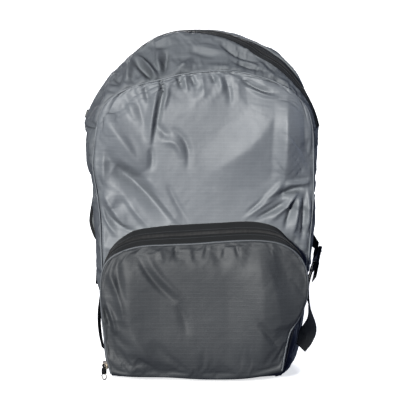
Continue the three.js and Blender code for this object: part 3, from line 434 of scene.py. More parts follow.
def crown_share(u, v, power_u=2.6, power_v=2.6):
    """How far a panel stands out at a place: 0 on its rim and 1 in its middle."""
    across = 1 - np.abs(2 * u - 1) ** power_u
    upward = 1 - np.abs(2 * v - 1) ** power_v
    return np.clip(across * upward, 0, None) ** 0.7


def patch(bottom, top, left, right):
    """A grid of points between four edges that meet at its corners, and each point's shares across and up."""
    v = np.linspace(0, 1, len(left))[:, None, None]
    u = np.linspace(0, 1, len(bottom))[None, :, None]
    across = lerp(left[:, None], right[:, None], u)
    upward = lerp(bottom[None], top[None], v)
    corners = lerp(lerp(bottom[0], bottom[-1], u), lerp(top[0], top[-1], u), v)
    return across + upward - corners, *np.broadcast_arrays(u[..., 0], v[..., 0])


def grid_normals(grid):
    down = np.gradient(grid, axis=0)
    right = np.gradient(grid, axis=1)
    return unit(np.cross(right, down))


# The camera's own directions, for places given in the photograph's pixels
CAMERA_BACK = np.array([0, -math.cos(CAMERA_ELEVATION), math.sin(CAMERA_ELEVATION)])
CAMERA_UP = np.array([0, math.sin(CAMERA_ELEVATION), math.cos(CAMERA_ELEVATION)])
CAMERA_PLACE = np.array(CAMERA_TARGET) + CAMERA_BACK * CAMERA_DISTANCE
PIXELS_PER_SLOPE = PHOTO_SIZE * FOCAL / SENSOR


def photo_place(points):
    """Where points show in the photograph, in its pixels."""
    offset = points - CAMERA_PLACE
    away = -(offset @ CAMERA_BACK)
    x = PHOTO_SIZE / 2 + PIXELS_PER_SLOPE * offset[..., 0] / away
    y = PHOTO_SIZE / 2 - PIXELS_PER_SLOPE * (offset @ CAMERA_UP) / away
    return x, y


FOLD_STEPS = 8
CREASE = 0.08  # roundness of a fold's crest as a share of its width
FOLD_FLANK = 1.4  # over 1, a fold runs out softly at its sides
FOLD_ENDS = 0.75
FOLD_GAIN = 1.8  # a finished fold's height as a multiple of its table's


def fold_heights(px, py, table):
    """Heights of a table's folds at places in pixels, in metres."""
    total = np.zeros_like(px)
    for fold in rows_of(table):
        t = np.linspace(0, 1, FOLD_STEPS + 1)
        bend_x = 2 * fold["x2"] - (fold["x1"] + fold["x3"]) / 2
        bend_y = 2 * fold["y2"] - (fold["y1"] + fold["y3"]) / 2
        xs = (1 - t) ** 2 * fold["x1"] + 2 * t * (1 - t) * bend_x + t**2 * fold["x3"]
        ys = (1 - t) ** 2 * fold["y1"] + 2 * t * (1 - t) * bend_y + t**2 * fold["y3"]
        nearest = np.full(px.shape, np.inf)
        share = np.zeros(px.shape)
        side = np.zeros(px.shape)
        for k in range(FOLD_STEPS):
            held, distance = segment_share(px, py, xs[k], ys[k], xs[k + 1], ys[k + 1])
            closer = distance < nearest
            nearest = np.where(closer, distance, nearest)
            share = np.where(closer, (k + held) / FOLD_STEPS, share)
            turn = (xs[k + 1] - xs[k]) * (py - ys[k]) - (ys[k + 1] - ys[k]) * (px - xs[k])
            side = np.where(closer, turn, side)
        width = np.where(side < 0, fold["left"], fold["right"])
        flank = 1 + CREASE - np.sqrt((nearest / width) ** 2 + CREASE**2)
        profile = np.clip(flank, 0, None) ** FOLD_FLANK
        along = np.sin(np.pi * np.clip(share, 0.02, 0.98)) ** FOLD_ENDS
        total += FOLD_GAIN * fold["height"] * MM * along * profile
    return total


def rim_rise(u, v, reach_u, reach_v):
    """0 on a patch's rim, rising to 1 a short way in."""
    from_side = np.minimum(u, 1 - u) / reach_u
    from_end = np.minimum(v, 1 - v) / reach_v
    return (1 - np.exp(-from_side**2)) * (1 - np.exp(-from_end**2))


def crumple(points, scale, seed, octaves=3):
    """Uneven cloth: soft ridges between about -1 and 1."""
    flat = points.reshape(-1, 3) * scale + seed
    values = np.array([noise.fractal(Vector(p), 0.9, 2.1, octaves) for p in flat])
    return values.reshape(points.shape[:-1])


# Meshes


def linked(name, data):
    made = bpy.data.objects.new(name, data)
    bpy.context.scene.collection.objects.link(made)
    return made


def new_mesh(name, points, faces):
    mesh = bpy.data.meshes.new(name)
    mesh.from_pydata(points.reshape(-1, 3).tolist(), [], faces)
    return mesh


def sheet_faces(rows, cols, facing):
    """The faces of a grid of points, turned round where facing is under 0."""
    index = np.arange(rows * cols).reshape(rows, cols)
    faces = np.stack([index[:-1, :-1], index[:-1, 1:], index[1:, 1:], index[1:, :-1]], -1).reshape(-1, 4)
    return faces[:, ::-1] if facing < 0 else faces


def tube_faces(steps, sides):
    """The faces of rings of points: quads along them, and a cap on each end."""
    index = np.arange(steps * sides).reshape(steps, sides)
    wrapped = np.roll(index, -1, 1)
    quads = np.stack([index[:-1], wrapped[:-1], wrapped[1:], index[1:]], -1).reshape(-1, 4)
    return quads, [index[0][::-1], index[-1]]


def add_object(name, mesh, material, replaced=None):
    made = linked(name, mesh)
    mesh.materials.append(material)
    mesh.polygons.foreach_set("use_smooth", [True] * len(mesh.polygons))
    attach(made, "pack")
    if replaced:
        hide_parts(replaced)
    return made


def set_weave(mesh, places, corners):
    layer = mesh.uv_layers.new(name="weave")
    layer.data.foreach_set("uv", places.reshape(-1, 2)[corners].ravel())


def sheet_piece(name, grid, weave, material, replaced, outward=(0, -1, 0), thickness=CLOTH / 2):
    """A cloth piece from a grid of points, with its own thickness on the inside."""
    rows, cols = grid.shape[:2]
    centre = grid_normals(grid)[rows // 2, cols // 2]
    faces = sheet_faces(rows, cols, centre @ np.array(outward, float))
    mesh = new_mesh(name, grid, faces.tolist())
    set_weave(mesh, weave, faces.ravel())
    made = add_object(name, mesh, material, replaced)
    solid = made.modifiers.new("cloth", "SOLIDIFY")
    solid.thickness = thickness
    solid.offset = -1


def tube_mesh(name, points, weave=None):
    """A tube from rings of points. weave holds each point's place on the woven cloth."""
    quads, caps = tube_faces(*points.shape[:2])
    mesh = new_mesh(name, points, quads.tolist() + [cap.tolist() for cap in caps])
    if weave is not None:
        set_weave(mesh, weave, np.concatenate([quads.ravel(), *caps]))
    return mesh


def ring_angles(sides):
    return np.linspace(0, 2 * np.pi, sides, endpoint=False)


def tube_piece(name, path, radius, material, flat=None, sides=8):
    """A round or flattened roll along a path. flat is (directions, share): the roll is thinner along them."""
    along = unit(np.gradient(path, axis=0))
    reference, thin = flat or (np.broadcast_to([0.0, 1.0, 0.0], path.shape), 1)
    first = unit(np.cross(along, reference))[:, None]
    second = unit(np.cross(first[:, 0], along))[:, None]
    angle = ring_angles(sides)[None, :, None]
    radius = np.broadcast_to(np.asarray(radius, float), (len(path),))[:, None, None]
    points = path[:, None] + radius * (np.cos(angle) * first + thin * np.sin(angle) * second)
    weave = np.stack(np.broadcast_arrays(distances(path)[:, None], (angle * radius)[..., 0]), -1)
    add_object(name, tube_mesh(name, points, weave), material)


def resample(path, spacing):
    """A path's points at even distances. Columns after the third are directions that go with the points."""
    travelled = distances(path[:, :3])
    count = max(2, int(round(travelled[-1] / spacing)) + 1)
    wanted = np.linspace(0, travelled[-1], count)
    return np.stack([np.interp(wanted, travelled, path[:, k]) for k in range(path.shape[1])], -1)


CAPSULE = [(-0.5, 0.35), (-0.34, 0.9), (0.34, 0.9), (0.5, 0.35)]  # shares of its length and width
CAPSULE_SIDES = 6


def capsules(name, centres, along, out, length, width, height, material):
    """Many small rounded pieces in one mesh: stitches or the coil of a zip."""
    along = unit(along)[:, None]
    across = unit(np.cross(along, out[:, None]))
    up = unit(np.cross(across, along))
    angle = ring_angles(CAPSULE_SIDES)[None, :, None]
    around = np.cos(angle) * across * width / 2, np.sin(angle) * up * height / 2
    rings = [centres[:, None] + along * length * place + around[0] * size + around[1] * size
             for place, size in CAPSULE]
    points = np.stack(rings, 1)
    quads, caps = tube_faces(len(CAPSULE), CAPSULE_SIDES)
    starts = np.arange(len(centres)) * len(CAPSULE) * CAPSULE_SIDES
    faces = (quads[None] + starts[:, None, None]).reshape(-1, 4).tolist()
    for start in starts:
        faces += [(cap + start).tolist() for cap in caps]
    add_object(name, new_mesh(name, points, faces), material)


STITCH_WIDTH = 0.55 * MM
STITCH_HEIGHT = 0.5 * MM
STITCH_LIFT = 0.15 * MM
STITCH_SHARE = 0.72  # of the pitch that thread covers


def stitch_row(name, path, out, pitch=3.2 * MM):
    """A row of thread stitches along a path on cloth."""
    both = resample(np.hstack([path, out]), pitch)
    outs = unit(both[:, 3:])
    centres = both[:, :3]
    capsules(name, centres + outs * STITCH_LIFT, np.gradient(centres, axis=0), outs,
             STITCH_SHARE * pitch, STITCH_WIDTH, STITCH_HEIGHT, dark_thread)


# Cloth simulation: a sheet that is cut too large for its seams, pushed out from inside

SIM_FRAMES = 16
MOST_MOVE = 5 * MM


def stuffed(grid, pinned, growth, pressure, step, facing=1):
    """A grid's points after the sheet has billowed between its pinned ones. Only each step-th is simulated."""
    rows, cols = [np.unique(np.append(np.arange(0, size, step), size - 1)) for size in grid.shape[:2]]
    coarse = grid[np.ix_(rows, cols)]
    index = np.arange(len(rows) * len(cols)).reshape(coarse.shape[:2])
    made = linked("stuffed", new_mesh("stuffed", coarse, sheet_faces(*coarse.shape[:2], facing).tolist()))
    group = made.vertex_groups.new(name="pinned")
    group.add(index[pinned[np.ix_(rows, cols)]].tolist(), 1.0, "REPLACE")
    sim = made.modifiers.new("cloth", "CLOTH")
    sim.settings.vertex_group_mass = "pinned"
    sim.settings.quality = 4
    sim.settings.mass = 0.12
    sim.settings.tension_stiffness = 30
    sim.settings.compression_stiffness = 30
    sim.settings.shear_stiffness = 12
    sim.settings.bending_stiffness = 0.04
    sim.settings.shrink_min = -growth
    sim.settings.use_pressure = True
    sim.settings.uniform_pressure_force = pressure
    sim.settings.effector_weights.gravity = 0
    sim.collision_settings.use_collision = False
    for moment in range(1, SIM_FRAMES + 1):
        bpy.context.scene.frame_set(moment)
    ready = made.evaluated_get(bpy.context.evaluated_depsgraph_get()).to_mesh()
    moved = np.empty(index.size * 3)
    ready.vertices.foreach_get("co", moved)
    bpy.data.objects.remove(made)
    bpy.context.scene.frame_set(1)
    move = moved.reshape(coarse.shape) - coarse
    size = np.linalg.norm(move, axis=-1, keepdims=True)
    move *= MOST_MOVE * np.tanh(size / MOST_MOVE) / np.maximum(size, 1e-9)
    for axis, known in ((1, cols), (0, rows)):
        wanted = np.arange(grid.shape[axis])
        move = np.apply_along_axis(lambda line: np.interp(wanted, known, line), axis, move)
    return grid + move


def rim_of(shape):
    held = np.ones(shape, bool)
    held[1:-1, 1:-1] = False
    return held


# Materials


class Shader:
    """A node tree with short calls for its nodes and links."""

    def __init__(self, name):
        self.material = bpy.data.materials.new(name)
        self.material.use_nodes = True
        self.tree = self.material.node_tree
        self.surface = self.tree.nodes["Principled BSDF"]

    def node(self, kind, settings=(), **inputs):
        made = self.tree.nodes.new(kind)
        for key, value in dict(settings).items():
            setattr(made, key, value)
        for key, value in inputs.items():
            self.feed(made, key.replace("_", " "), value)
        return made

    def feed(self, made, key, value):
        socket = made.inputs[key]
        if isinstance(value, bpy.types.NodeSocket):
            self.tree.links.new(value, socket)
        else:
            socket.default_value = value

    def math(self, operation, a, b=0.0):
        made = self.node("ShaderNodeMath", {"operation": operation})
        self.feed(made, 0, a)
        self.feed(made, 1, b)
        return made.outputs[0]

    def ramp(self, value, low, high, to_low=0.0, to_high=1.0):
        made = self.node("ShaderNodeMapRange", Value=value, From_Min=low, From_Max=high,
                         To_Min=to_low, To_Max=to_high)
        return made.outputs[0]

    def mix(self, share, a, b, blend="MIX"):
        made = self.node("ShaderNodeMix", {"data_type": "RGBA", "blend_type": blend})
        self.feed(made, 0, share)
        self.feed(made, 6, a)
        self.feed(made, 7, b)
        return made.outputs[2]

    def noise(self, scale, detail=4.0, roughness=0.5, distortion=0.0):
        where = self.node("ShaderNodeTexCoord").outputs["Object"]
        made = self.node("ShaderNodeTexNoise", Vector=where, Scale=scale, Detail=detail, Roughness=roughness,
                         Distortion=distortion)
        return made.outputs[0]

    def weave_places(self):
        made = self.node("ShaderNodeUVMap", {"uv_map": "weave"})
        parts = self.node("ShaderNodeSeparateXYZ", Vector=made.outputs[0])
        return parts.outputs[0], parts.outputs[1]

    def bump(self, height, strength, distance, before=None):
        made = self.node("ShaderNodeBump", Height=height, Strength=strength, Distance=distance)
        if before is not None:
            self.feed(made, "Normal", before)
        return made.outputs[0]

    def finish(self, colour, roughness, normal=None, **constants):
        self.feed(self.surface, "Base Color", colour)
        self.feed(self.surface, "Roughness", roughness)
        if normal is not None:
            self.feed(self.surface, "Normal", normal)
        for key, value in constants.items():
            self.feed(self.surface, key.replace("_", " "), value)
        return self.material


def grey(value, tint=(1, 1, 1)):
    return tuple(value * t for t in tint) + (1,)


COOL = (0.92, 1.0, 1.08)  # the cloth's and webbing's bluish tint
RIPSTOP_CELL = 4.5 * MM
THREAD = 0.45 * MM


def ripstop(name, value, line_gain, specular):
    """Light ripstop nylon: a fine plain weave with a grid of thicker threads."""
    s = Shader(name)
    along, across = s.weave_places()
    lines = []
    for place in (along, across):
        cell = s.math("FRACT", s.math("DIVIDE", place, RIPSTOP_CELL))
        lines.append(s.ramp(s.math("ABSOLUTE", s.math("SUBTRACT", cell, 0.5)), 0.36, 0.47))
    grid = s.math("MAXIMUM", s.math("MULTIPLY", lines[0], 0.35), lines[1])
    threads = [s.math("SINE", s.math("MULTIPLY", place, 2 * math.pi / THREAD)) for place in (along, across)]
    weave = s.math("MULTIPLY", threads[0], threads[1])
    fading = s.ramp(s.noise(9.0, 3.0), 0.3, 0.7, 0.9, 1.08)
    shade = s.node("ShaderNodeCombineColor", Red=fading, Green=fading, Blue=fading).outputs[0]
    base = s.mix(1.0, grey(value, COOL), shade, "MULTIPLY")
    colour = s.mix(s.math("MULTIPLY", grid, line_gain), base, grey(value * 1.9, COOL))
    normal = s.bump(s.noise(55.0, 5.0, 0.55, 0.8), 0.3, 1.2 * MM)
    normal = s.bump(grid, 0.35, 0.12 * MM, normal)
    normal = s.bump(weave, 0.25, 0.05 * MM, normal)
    rough = s.ramp(s.noise(30.0, 3.0), 0.3, 0.7, 0.58, 0.66)
    return s.finish(colour, rough, normal, IOR=1.6, Specular_IOR_Level=specular)


def woven_tape(name, value, pitch, rib):
    """Woven tape or webbing: ribs across it and a fine twill between them."""
    s = Shader(name)
    along, across = s.weave_places()
    ribs = s.math("SINE", s.math("MULTIPLY", along, 2 * math.pi / pitch))
    slant = s.math("ADD", s.math("MULTIPLY", along, 0.7), across)
    twill = s.math("SINE", s.math("MULTIPLY", slant, 2 * math.pi / (pitch * 0.6)))
    height = s.math("ADD", s.math("MULTIPLY", ribs, rib), s.math("MULTIPLY", twill, 1 - rib))
    worn = s.ramp(s.noise(40.0, 4.0), 0.3, 0.75, 0.0, 0.6)
    colour = s.mix(worn, grey(value, COOL), grey(value * 2.2, COOL))
    # Painted shade: the weave's low places between its ribs are darker than the rib tops.
    colour = s.mix(s.ramp(height, -1.0, 1.0, 0.0, 0.35), grey(value * 0.6, COOL), colour)
    normal = s.bump(height, 0.7, 0.18 * MM)
    return s.finish(colour, 0.75, normal, Specular_IOR_Level=0.3, Sheen_Weight=0.04, Sheen_Roughness=0.5)


def spacer_mesh(name, value):
    """Dark air mesh: small holes in staggered rows over a lighter ground."""
    s = Shader(name)
    where = s.node("ShaderNodeTexCoord").outputs["Object"]
    cells = s.node("ShaderNodeTexVoronoi", Vector=where, Scale=420.0, Randomness=0.25)
    hole = s.ramp(cells.outputs["Distance"], 0.18, 0.42)
    mottle = s.ramp(s.noise(160.0, 5.0, 0.7), 0.35, 0.7)
    ground = s.mix(mottle, grey(value, (0.92, 1.0, 0.99)), grey(value * 1.9, COOL))
    # Painted shade: the holes are darkened for the shade inside them.
    colour = s.mix(hole, grey(value * 0.25), ground)
    normal = s.bump(hole, 0.8, 0.4 * MM)
    return s.finish(colour, 0.8, normal, Sheen_Weight=0.3, Sheen_Roughness=0.5)


ROUGHNESS_SPREAD = 0.15  # from the least to the most worn place


def moulded(name, value, roughness):
    """Moulded plastic with a fine grain, rubbed lighter in places."""
    s = Shader(name)
    wear = s.ramp(s.noise(60.0, 4.0), 0.35, 0.7)
    colour = s.mix(wear, grey(value), grey(value * 1.6))
    rough = s.ramp(wear, 0.0, 1.0, roughness, roughness + ROUGHNESS_SPREAD)
    return s.finish(colour, rough, s.bump(s.noise(900.0, 2.0), 0.2, 0.1 * MM))


def plated(name, tint, roughness):
    """Plated metal, finely brushed and a little tarnished."""
    s = Shader(name)
    brushed = s.noise(500.0, 3.0)
    tarnish = s.ramp(s.noise(120.0, 4.0), 0.4, 0.7)
    colour = s.mix(tarnish, grey(1, tint), grey(0.7, tint))
    rough = s.ramp(brushed, 0.3, 0.7, roughness, roughness + ROUGHNESS_SPREAD)
    return s.finish(colour, rough, s.bump(brushed, 0.1, 0.05 * MM), Metallic=1.0)


def thread_yarn(name, value):
    s = Shader(name)
    twist = s.noise(1500.0, 2.0)
    colour = s.mix(twist, grey(value * 0.7, COOL), grey(value * 1.2, COOL))
    return s.finish(colour, 0.7, s.bump(twist, 0.4, 0.1 * MM))


cloth = ripstop("cloth_finish", 0.13, 0.1, 0.6)
# Painted shade: every gusset piece gets the panel's cloth in a darker tone. This stands for the shade on the
# top, which faces up, away from the low key light.
gusset_shaded_finish = ripstop("gusset_shaded_finish", 0.105, 0.1, 0.3)  # darker than the panel, as in the photograph
# Painted highlight: the piping round the pocket's edge is the pocket's cloth in a lighter tone. This stands
# for the light on the rolled edge that turns up.
hem_highlight_cloth = ripstop("hem_highlight_finish", 0.085, 0.1, 0.5)
# Painted shade: the pocket's front is the panel's cloth in a much darker tone. This stands for the shade on a
# face that turns down, away from the light.
pocket_shaded_cloth = ripstop("pocket_shaded_cloth_finish", 0.04, 0.16, 0.35)
tape = woven_tape("zip_tape_finish", 0.02, 1.1 * MM, 0.3)
strap = woven_tape("webbing_finish", 0.012, 1.6 * MM, 0.6)
binding = woven_tape("binding_finish", 0.02, 1.2 * MM, 0.7)
mesh_cloth = spacer_mesh("pad_mesh_finish", 0.06)
plastic = moulded("plastic_finish", 0.012, 0.32)
coil_plastic = moulded("coil_finish", 0.03, 0.6)
metal = plated("metal_finish", (0.86, 0.79, 0.68), 0.4)
# Painted reflection: the pull ring's bright plated metal is darkened to stand for the dark surroundings it
# reflects.
ring_dark_reflection_metal = plated("ring_dark_reflection_finish", (0.36, 0.34, 0.31), 0.45)
dark_thread = thread_yarn("dark_thread_finish", 0.06)

# Front and back panels

SEAM_TUCK = 2.2 * MM  # how far a panel's edge goes in under its seam
FRONT_FINENESS = 19  # rows or columns of the mesh to a station
BACK_FINENESS = 14


CROWN_SHARE = 0.9  # of the frame's crown, because the simulated cloth billows further
SIDE_REACH = 0.02  # shares of a panel's width and height in which its folds rise from the seam
END_REACH = 0.012


def panel_grid(point_at, fineness):
    side = (TOP_RIGHT - PANEL_CORNER_RIGHT) * fineness
    across = (TOP_LEFT - TOP_RIGHT) * fineness
    left = point_at(np.linspace(PANEL_CORNER_LEFT, TOP_LEFT, side + 1))
    right = point_at(np.linspace(PANEL_CORNER_RIGHT, TOP_RIGHT, side + 1))
    top = point_at(np.linspace(TOP_LEFT, TOP_RIGHT, across + 1))
    bottom = point_at(np.linspace(PANEL_CORNER_LEFT, PANEL_CORNER_RIGHT + STATIONS, across + 1))
    return patch(bottom, top, left, right)


def gathers(px, py, path_x, path_y, count, reach, width, height, seed):
    """Small puckers that run into a panel from its seam. The path is the seam, in pixels."""
    draws = np.random.default_rng(seed)
    total = np.zeros_like(px)
    for _ in range(count):
        at = draws.uniform(0, len(path_x) - 1.001)
        k = int(at)
        x = lerp(path_x[k], path_x[k + 1], at - k)
        y = lerp(path_y[k], path_y[k + 1], at - k)
        tangent = unit(np.array([path_x[k + 1] - path_x[k], path_y[k + 1] - path_y[k]]))
        inward = np.array([-tangent[1], tangent[0]])
        lean = draws.uniform(-0.5, 0.5)
        length = reach * draws.uniform(0.5, 1.4)
        end_x = x + (inward[0] + lean * tangent[0]) * length
        end_y = y + (inward[1] + lean * tangent[1]) * length
        held, distance = segment_share(px, py, x, y, end_x, end_y)
        fade = (1 - held) ** 1.5
        total += draws.choice([-1, 1], p=[0.6, 0.4]) * height * fade * hump(distance, width)
    return total


def front_panel():
    grid, u, v = panel_grid(seam_point, FRONT_FINENESS)
    grid[..., 1] -= CROWN_SHARE * FRONT_CROWN * crown_share(u, v)
    grid = stuffed(grid, rim_of(u.shape), growth=0.03, pressure=3.0, step=3)
    place = photo_place(grid)
    relief = fold_heights(*place, FRONT_FOLDS)
    seam = photo_place(seam_point(np.linspace(PANEL_CORNER_RIGHT, PANEL_CORNER_LEFT, 300)))
    relief += gathers(*place, *seam, count=170, reach=8, width=1.4, height=0.8 * MM, seed=3)
    relief += 0.5 * MM * crumple(grid, 26, 3.0)
    relief += 0.14 * MM * crumple(grid, 110, 9.0, 2)
    normals = -grid_normals(grid)
    normals *= np.sign(-normals[..., 1:2] + 1e-9)
    grid = grid + normals * (relief * rim_rise(u, v, SIDE_REACH, END_REACH))[..., None]
    grid[..., 1] += SEAM_TUCK * (1 - rim_rise(u, v, 0.014, 0.01))
    sheet_piece("front_cloth", grid, grid[..., [0, 2]], cloth, "front_panel")
    return grid


def back_panel():
    """The back's cloth. The straps lie on its plain form, which is what the call gives."""
    plain, u, v = panel_grid(back_seam_point, BACK_FINENESS)
    plain[..., 1] += BACK_CROWN * crown_share(u, v)
    grid = plain.copy()
    grid = stuffed(grid, rim_of(u.shape), growth=0.03, pressure=1.5, step=3, facing=-1)
    relief = 1.0 * MM * crumple(grid, 22, 5.0) + 0.3 * MM * crumple(grid, 90, 1.0, 2)
    grid[..., 1] += relief * rim_rise(u, v, SIDE_REACH, END_REACH)
    sheet_piece("back_cloth", grid, grid[..., [0, 2]], cloth, "back_panel", outward=(0, 1, 0))
    return plain


front_grid = front_panel()
plain_back = back_panel()

# Gusset: side panels, bottom, and the top's two cloth bands with the zip between them

GUSSET_FINENESS = 14
PUCKERS = 60
SEAM_HOLD = 0.06  # share of a piece's width in which its folds rise from the seam
EDGE_ROLL = 1.5 * MM  # the soft ridge just behind the front seam
FLOOR_HOLD = 6 * MM  # folds die out below this height


def course_depth(station):
    return np.interp(station, MAIN_ZIP_COURSE["station"], MAIN_ZIP_COURSE["depth"])


ZIP_HALF_SHARE = MAIN_ZIP_WIDTH / 2 / (2 * HALF_DEPTH)


def zip_front(station):
    return course_depth(station) - ZIP_HALF_SHARE


def zip_back(station):
    return course_depth(station) + ZIP_HALF_SHARE


def loop_length(station):
    """Distance along the crest to a station, for the weave."""
    fine = np.linspace(0, STATIONS, STATIONS * 20 + 1)
    return np.interp(station, fine, distances(catmull(OUTLINE, fine, True)))


def gusset_relief(points, station, depth, seed):
    """Folds and crumples of the gusset's cloth, which its caller holds to 0 at the seams."""
    seen = np.clip((0.62 - depth) / 0.2, 0, 1)
    relief = fold_heights(*photo_place(points), GUSSET_CREASES) * seen
    relief += 0.8 * MM * crumple(points, 30, seed)
    relief += 0.2 * MM * crumple(points, 120, seed + 4, 2)
    draws = np.random.default_rng(int(seed * 10))
    for _ in range(PUCKERS):
        at = draws.uniform(station.min(), station.max())
        start = draws.choice([0.0, 1.0])
        reach = draws.uniform(0.1, 0.4) * (1 if start == 0 else -1)
        held, distance = segment_share(
            station * STATION_PITCH, depth, at * STATION_PITCH, start,
            (at + draws.uniform(-0.6, 0.6)) * STATION_PITCH, start + reach)
        height = draws.uniform(-1.1, 0.8) * MM
        relief += height * (1 - held) * hump(distance, draws.uniform(0.02, 0.04))
    return relief


def gusset_cloth(name, node, start, end, edges, cols, seed):
    """A piece of the gusset from station start to end, between two edges whose depths are functions."""
    count = int(round((end - start) * GUSSET_FINENESS))
    station = np.linspace(start, end, count + 1)[:, None]
    share = np.linspace(0, 1, cols + 1)[None]
    depth = lerp(edges[0](station), edges[1](station), share)
    station = np.broadcast_to(station, depth.shape)
    points = gusset_point(station, depth)
    normals = gusset_normal(station, depth)
    facing = (grid_normals(points) * normals)[count // 2, cols // 2].sum()
    pinned = rim_of(depth.shape) | (points[..., 2] < FLOOR_HOLD / 2)
    points = stuffed(points, pinned, growth=0.05, pressure=2.0, step=1, facing=facing)
    hold = (1 - hump(share, SEAM_HOLD)) * (1 - hump(1 - share, SEAM_HOLD))
    floor_hold = np.clip(points[..., 2] / FLOOR_HOLD, 0, 1)
    roll = EDGE_ROLL * hump(depth - 0.035, 0.025) * (0.8 + 0.5 * crumple(points, 50, seed + 7, 2))
    relief = (gusset_relief(points, station, depth, seed) * hold + roll) * floor_hold
    points = points + normals * relief[..., None]
    points[..., 2] = np.maximum(points[..., 2], 0.2 * MM)
    weave = np.stack([loop_length(station), depth * 2 * HALF_DEPTH], -1)
    outward = normals[count // 2, cols // 2]
    # The gusset's finish is the panel's cloth darkened: painted shade.
    sheet_piece(name, points, weave, gusset_shaded_finish, node, outward=outward)


WHOLE_DEPTH = (np.zeros_like, np.ones_like)
for piece, node_name, first, last, depths, across_steps, start_seed in [
    ("top_cloth_front", "gusset_front", ZIP_END_RIGHT, ZIP_END_LEFT, (np.zeros_like, zip_front), 26, 2.0),
    ("top_cloth_rear", "gusset_rear", ZIP_END_RIGHT, ZIP_END_LEFT, (zip_back, np.ones_like), 18, 3.0),
    ("side_cloth_right", "side_panel_right", BOTTOM_RIGHT, ZIP_END_RIGHT, WHOLE_DEPTH, 44, 4.0),
    ("side_cloth_left", "side_panel_left", ZIP_END_LEFT, BOTTOM_LEFT, WHOLE_DEPTH, 44, 5.0),
    ("bottom_cloth", "bottom_panel", BOTTOM_LEFT, BOTTOM_RIGHT + STATIONS, WHOLE_DEPTH, 44, 6.0),
]:
    gusset_cloth(piece, node_name, first, last, depths, across_steps, start_seed)


# Zips. Each is a woven tape with a raised coil of teeth along its middle.

ZIP_COLUMNS = 16
MAIN_ZIP_FINENESS = 12  # rows to a station
POCKET_ZIP_FINENESS = 10
ZIP_STITCH_SHARE = 0.19  # of the band's columns, from its middle to each row of stitches
TOOTH_PITCH = 1.5 * MM
COIL_WIDTH = 4.6 * MM


def zip_surface(name, flat, normals):
    """A zip band from its grid (rows along it, columns across), with the coil on it."""
    across = np.linspace(-1, 1, flat.shape[1])[None]
    ridge = np.exp(-((across / 0.16) ** 4)) * COIL_HEIGHT * 0.55
    hem = hump(np.abs(across) - 0.93, 0.05) * 0.35 * MM
    points = flat + normals * (ridge + hem)[..., None]
    centre = flat.shape[1] // 2
    width = np.linalg.norm(flat[0, -1] - flat[0, 0])
    weave = np.stack(np.broadcast_arrays(distances(flat[:, centre])[:, None], across * width / 2), -1)
    outward = normals[len(flat) // 2, centre]
    sheet_piece(f"{name}_tape", points, weave, tape, name, outward=outward, thickness=0.8 * MM)
    line = np.hstack([flat[:, centre], normals[:, centre], flat[:, centre + 1] - flat[:, centre - 1]])
    teeth = resample(line, TOOTH_PITCH)
    places = teeth[:, :3] + unit(teeth[:, 3:6]) * COIL_HEIGHT * 0.62
    capsules(f"{name}_coil", places, teeth[:, 6:9], teeth[:, 3:6], COIL_WIDTH, TOOTH_PITCH * 0.92,
             COIL_HEIGHT * 0.9, coil_plastic)
    for side in (-1, 1):
        column = centre + side * int(ZIP_COLUMNS * ZIP_STITCH_SHARE)
        label = "front" if side < 0 else "rear"
        stitch_row(f"{name}_thread_{label}", points[:, column], normals[:, column], 2.6 * MM)


def main_zip():
    count = int((ZIP_END_LEFT - ZIP_END_RIGHT) * MAIN_ZIP_FINENESS)
    station = np.linspace(ZIP_END_RIGHT, ZIP_END_LEFT, count + 1)[:, None]
    depth = lerp(zip_front(station), zip_back(station), np.linspace(0, 1, ZIP_COLUMNS + 1)[None])
    station = np.broadcast_to(station, depth.shape)
    zip_surface("main_zip", gusset_point(station, depth), gusset_normal(station, depth))


main_zip()


def depth_on(grid, x, z):
    """The y of a grid at places x and z, from its nearest points."""
    flat = grid.reshape(-1, 3)
    x, z = np.broadcast_arrays(x, z)
    result = np.empty(x.shape)
    for place in np.ndindex(x.shape):
        distance = (flat[:, 0] - x[place]) ** 2 + (flat[:, 2] - z[place]) ** 2
        near = np.argpartition(distance, 4)[:4]
        weight = 1 / (distance[near] + 1e-9)
        result[place] = (flat[near, 1] * weight).sum() / weight.sum()
    return result


def band_edges(station):
    edge = catmull(POCKET_EDGE, station)
    edge[..., 1] += CLOTH + CLEARANCE
    base = catmull(POCKET_BASE, station)
    base[..., 1] = depth_on(front_grid[::2, ::2], base[..., 0], base[..., 2]) - 0.6 * MM
    return edge, base


def pocket_zip():
    count = int((POCKET_ZIP_END - POCKET_ZIP_START) * POCKET_ZIP_FINENESS)
    station = np.linspace(POCKET_ZIP_START, POCKET_ZIP_END, count + 1)
    edge, base = band_edges(station)
    share = np.linspace(0, 1, ZIP_COLUMNS + 1)[None, :, None]
    flat = lerp(edge[:, None], base[:, None], share)
    normals = grid_normals(flat)
    centre = np.array([0, EDGE_Y / 2, POCKET_HEIGHT / 2])
    if np.sum(normals * (flat - centre)) < 0:
        normals = -normals
    slack = np.sin(np.pi * share[..., 0]) * 1.2 * MM * crumple(flat, 18, 4.0, 2)
    flat = flat + normals * slack[..., None]
    zip_surface("pocket_zip", flat, normals)


pocket_zip()

# Pocket: its front, and the strip that turns back under its lower edge

POCKET_FINENESS = 14
POCKET_FINENESS_ACROSS = 18
UNDER_STEPS = 10


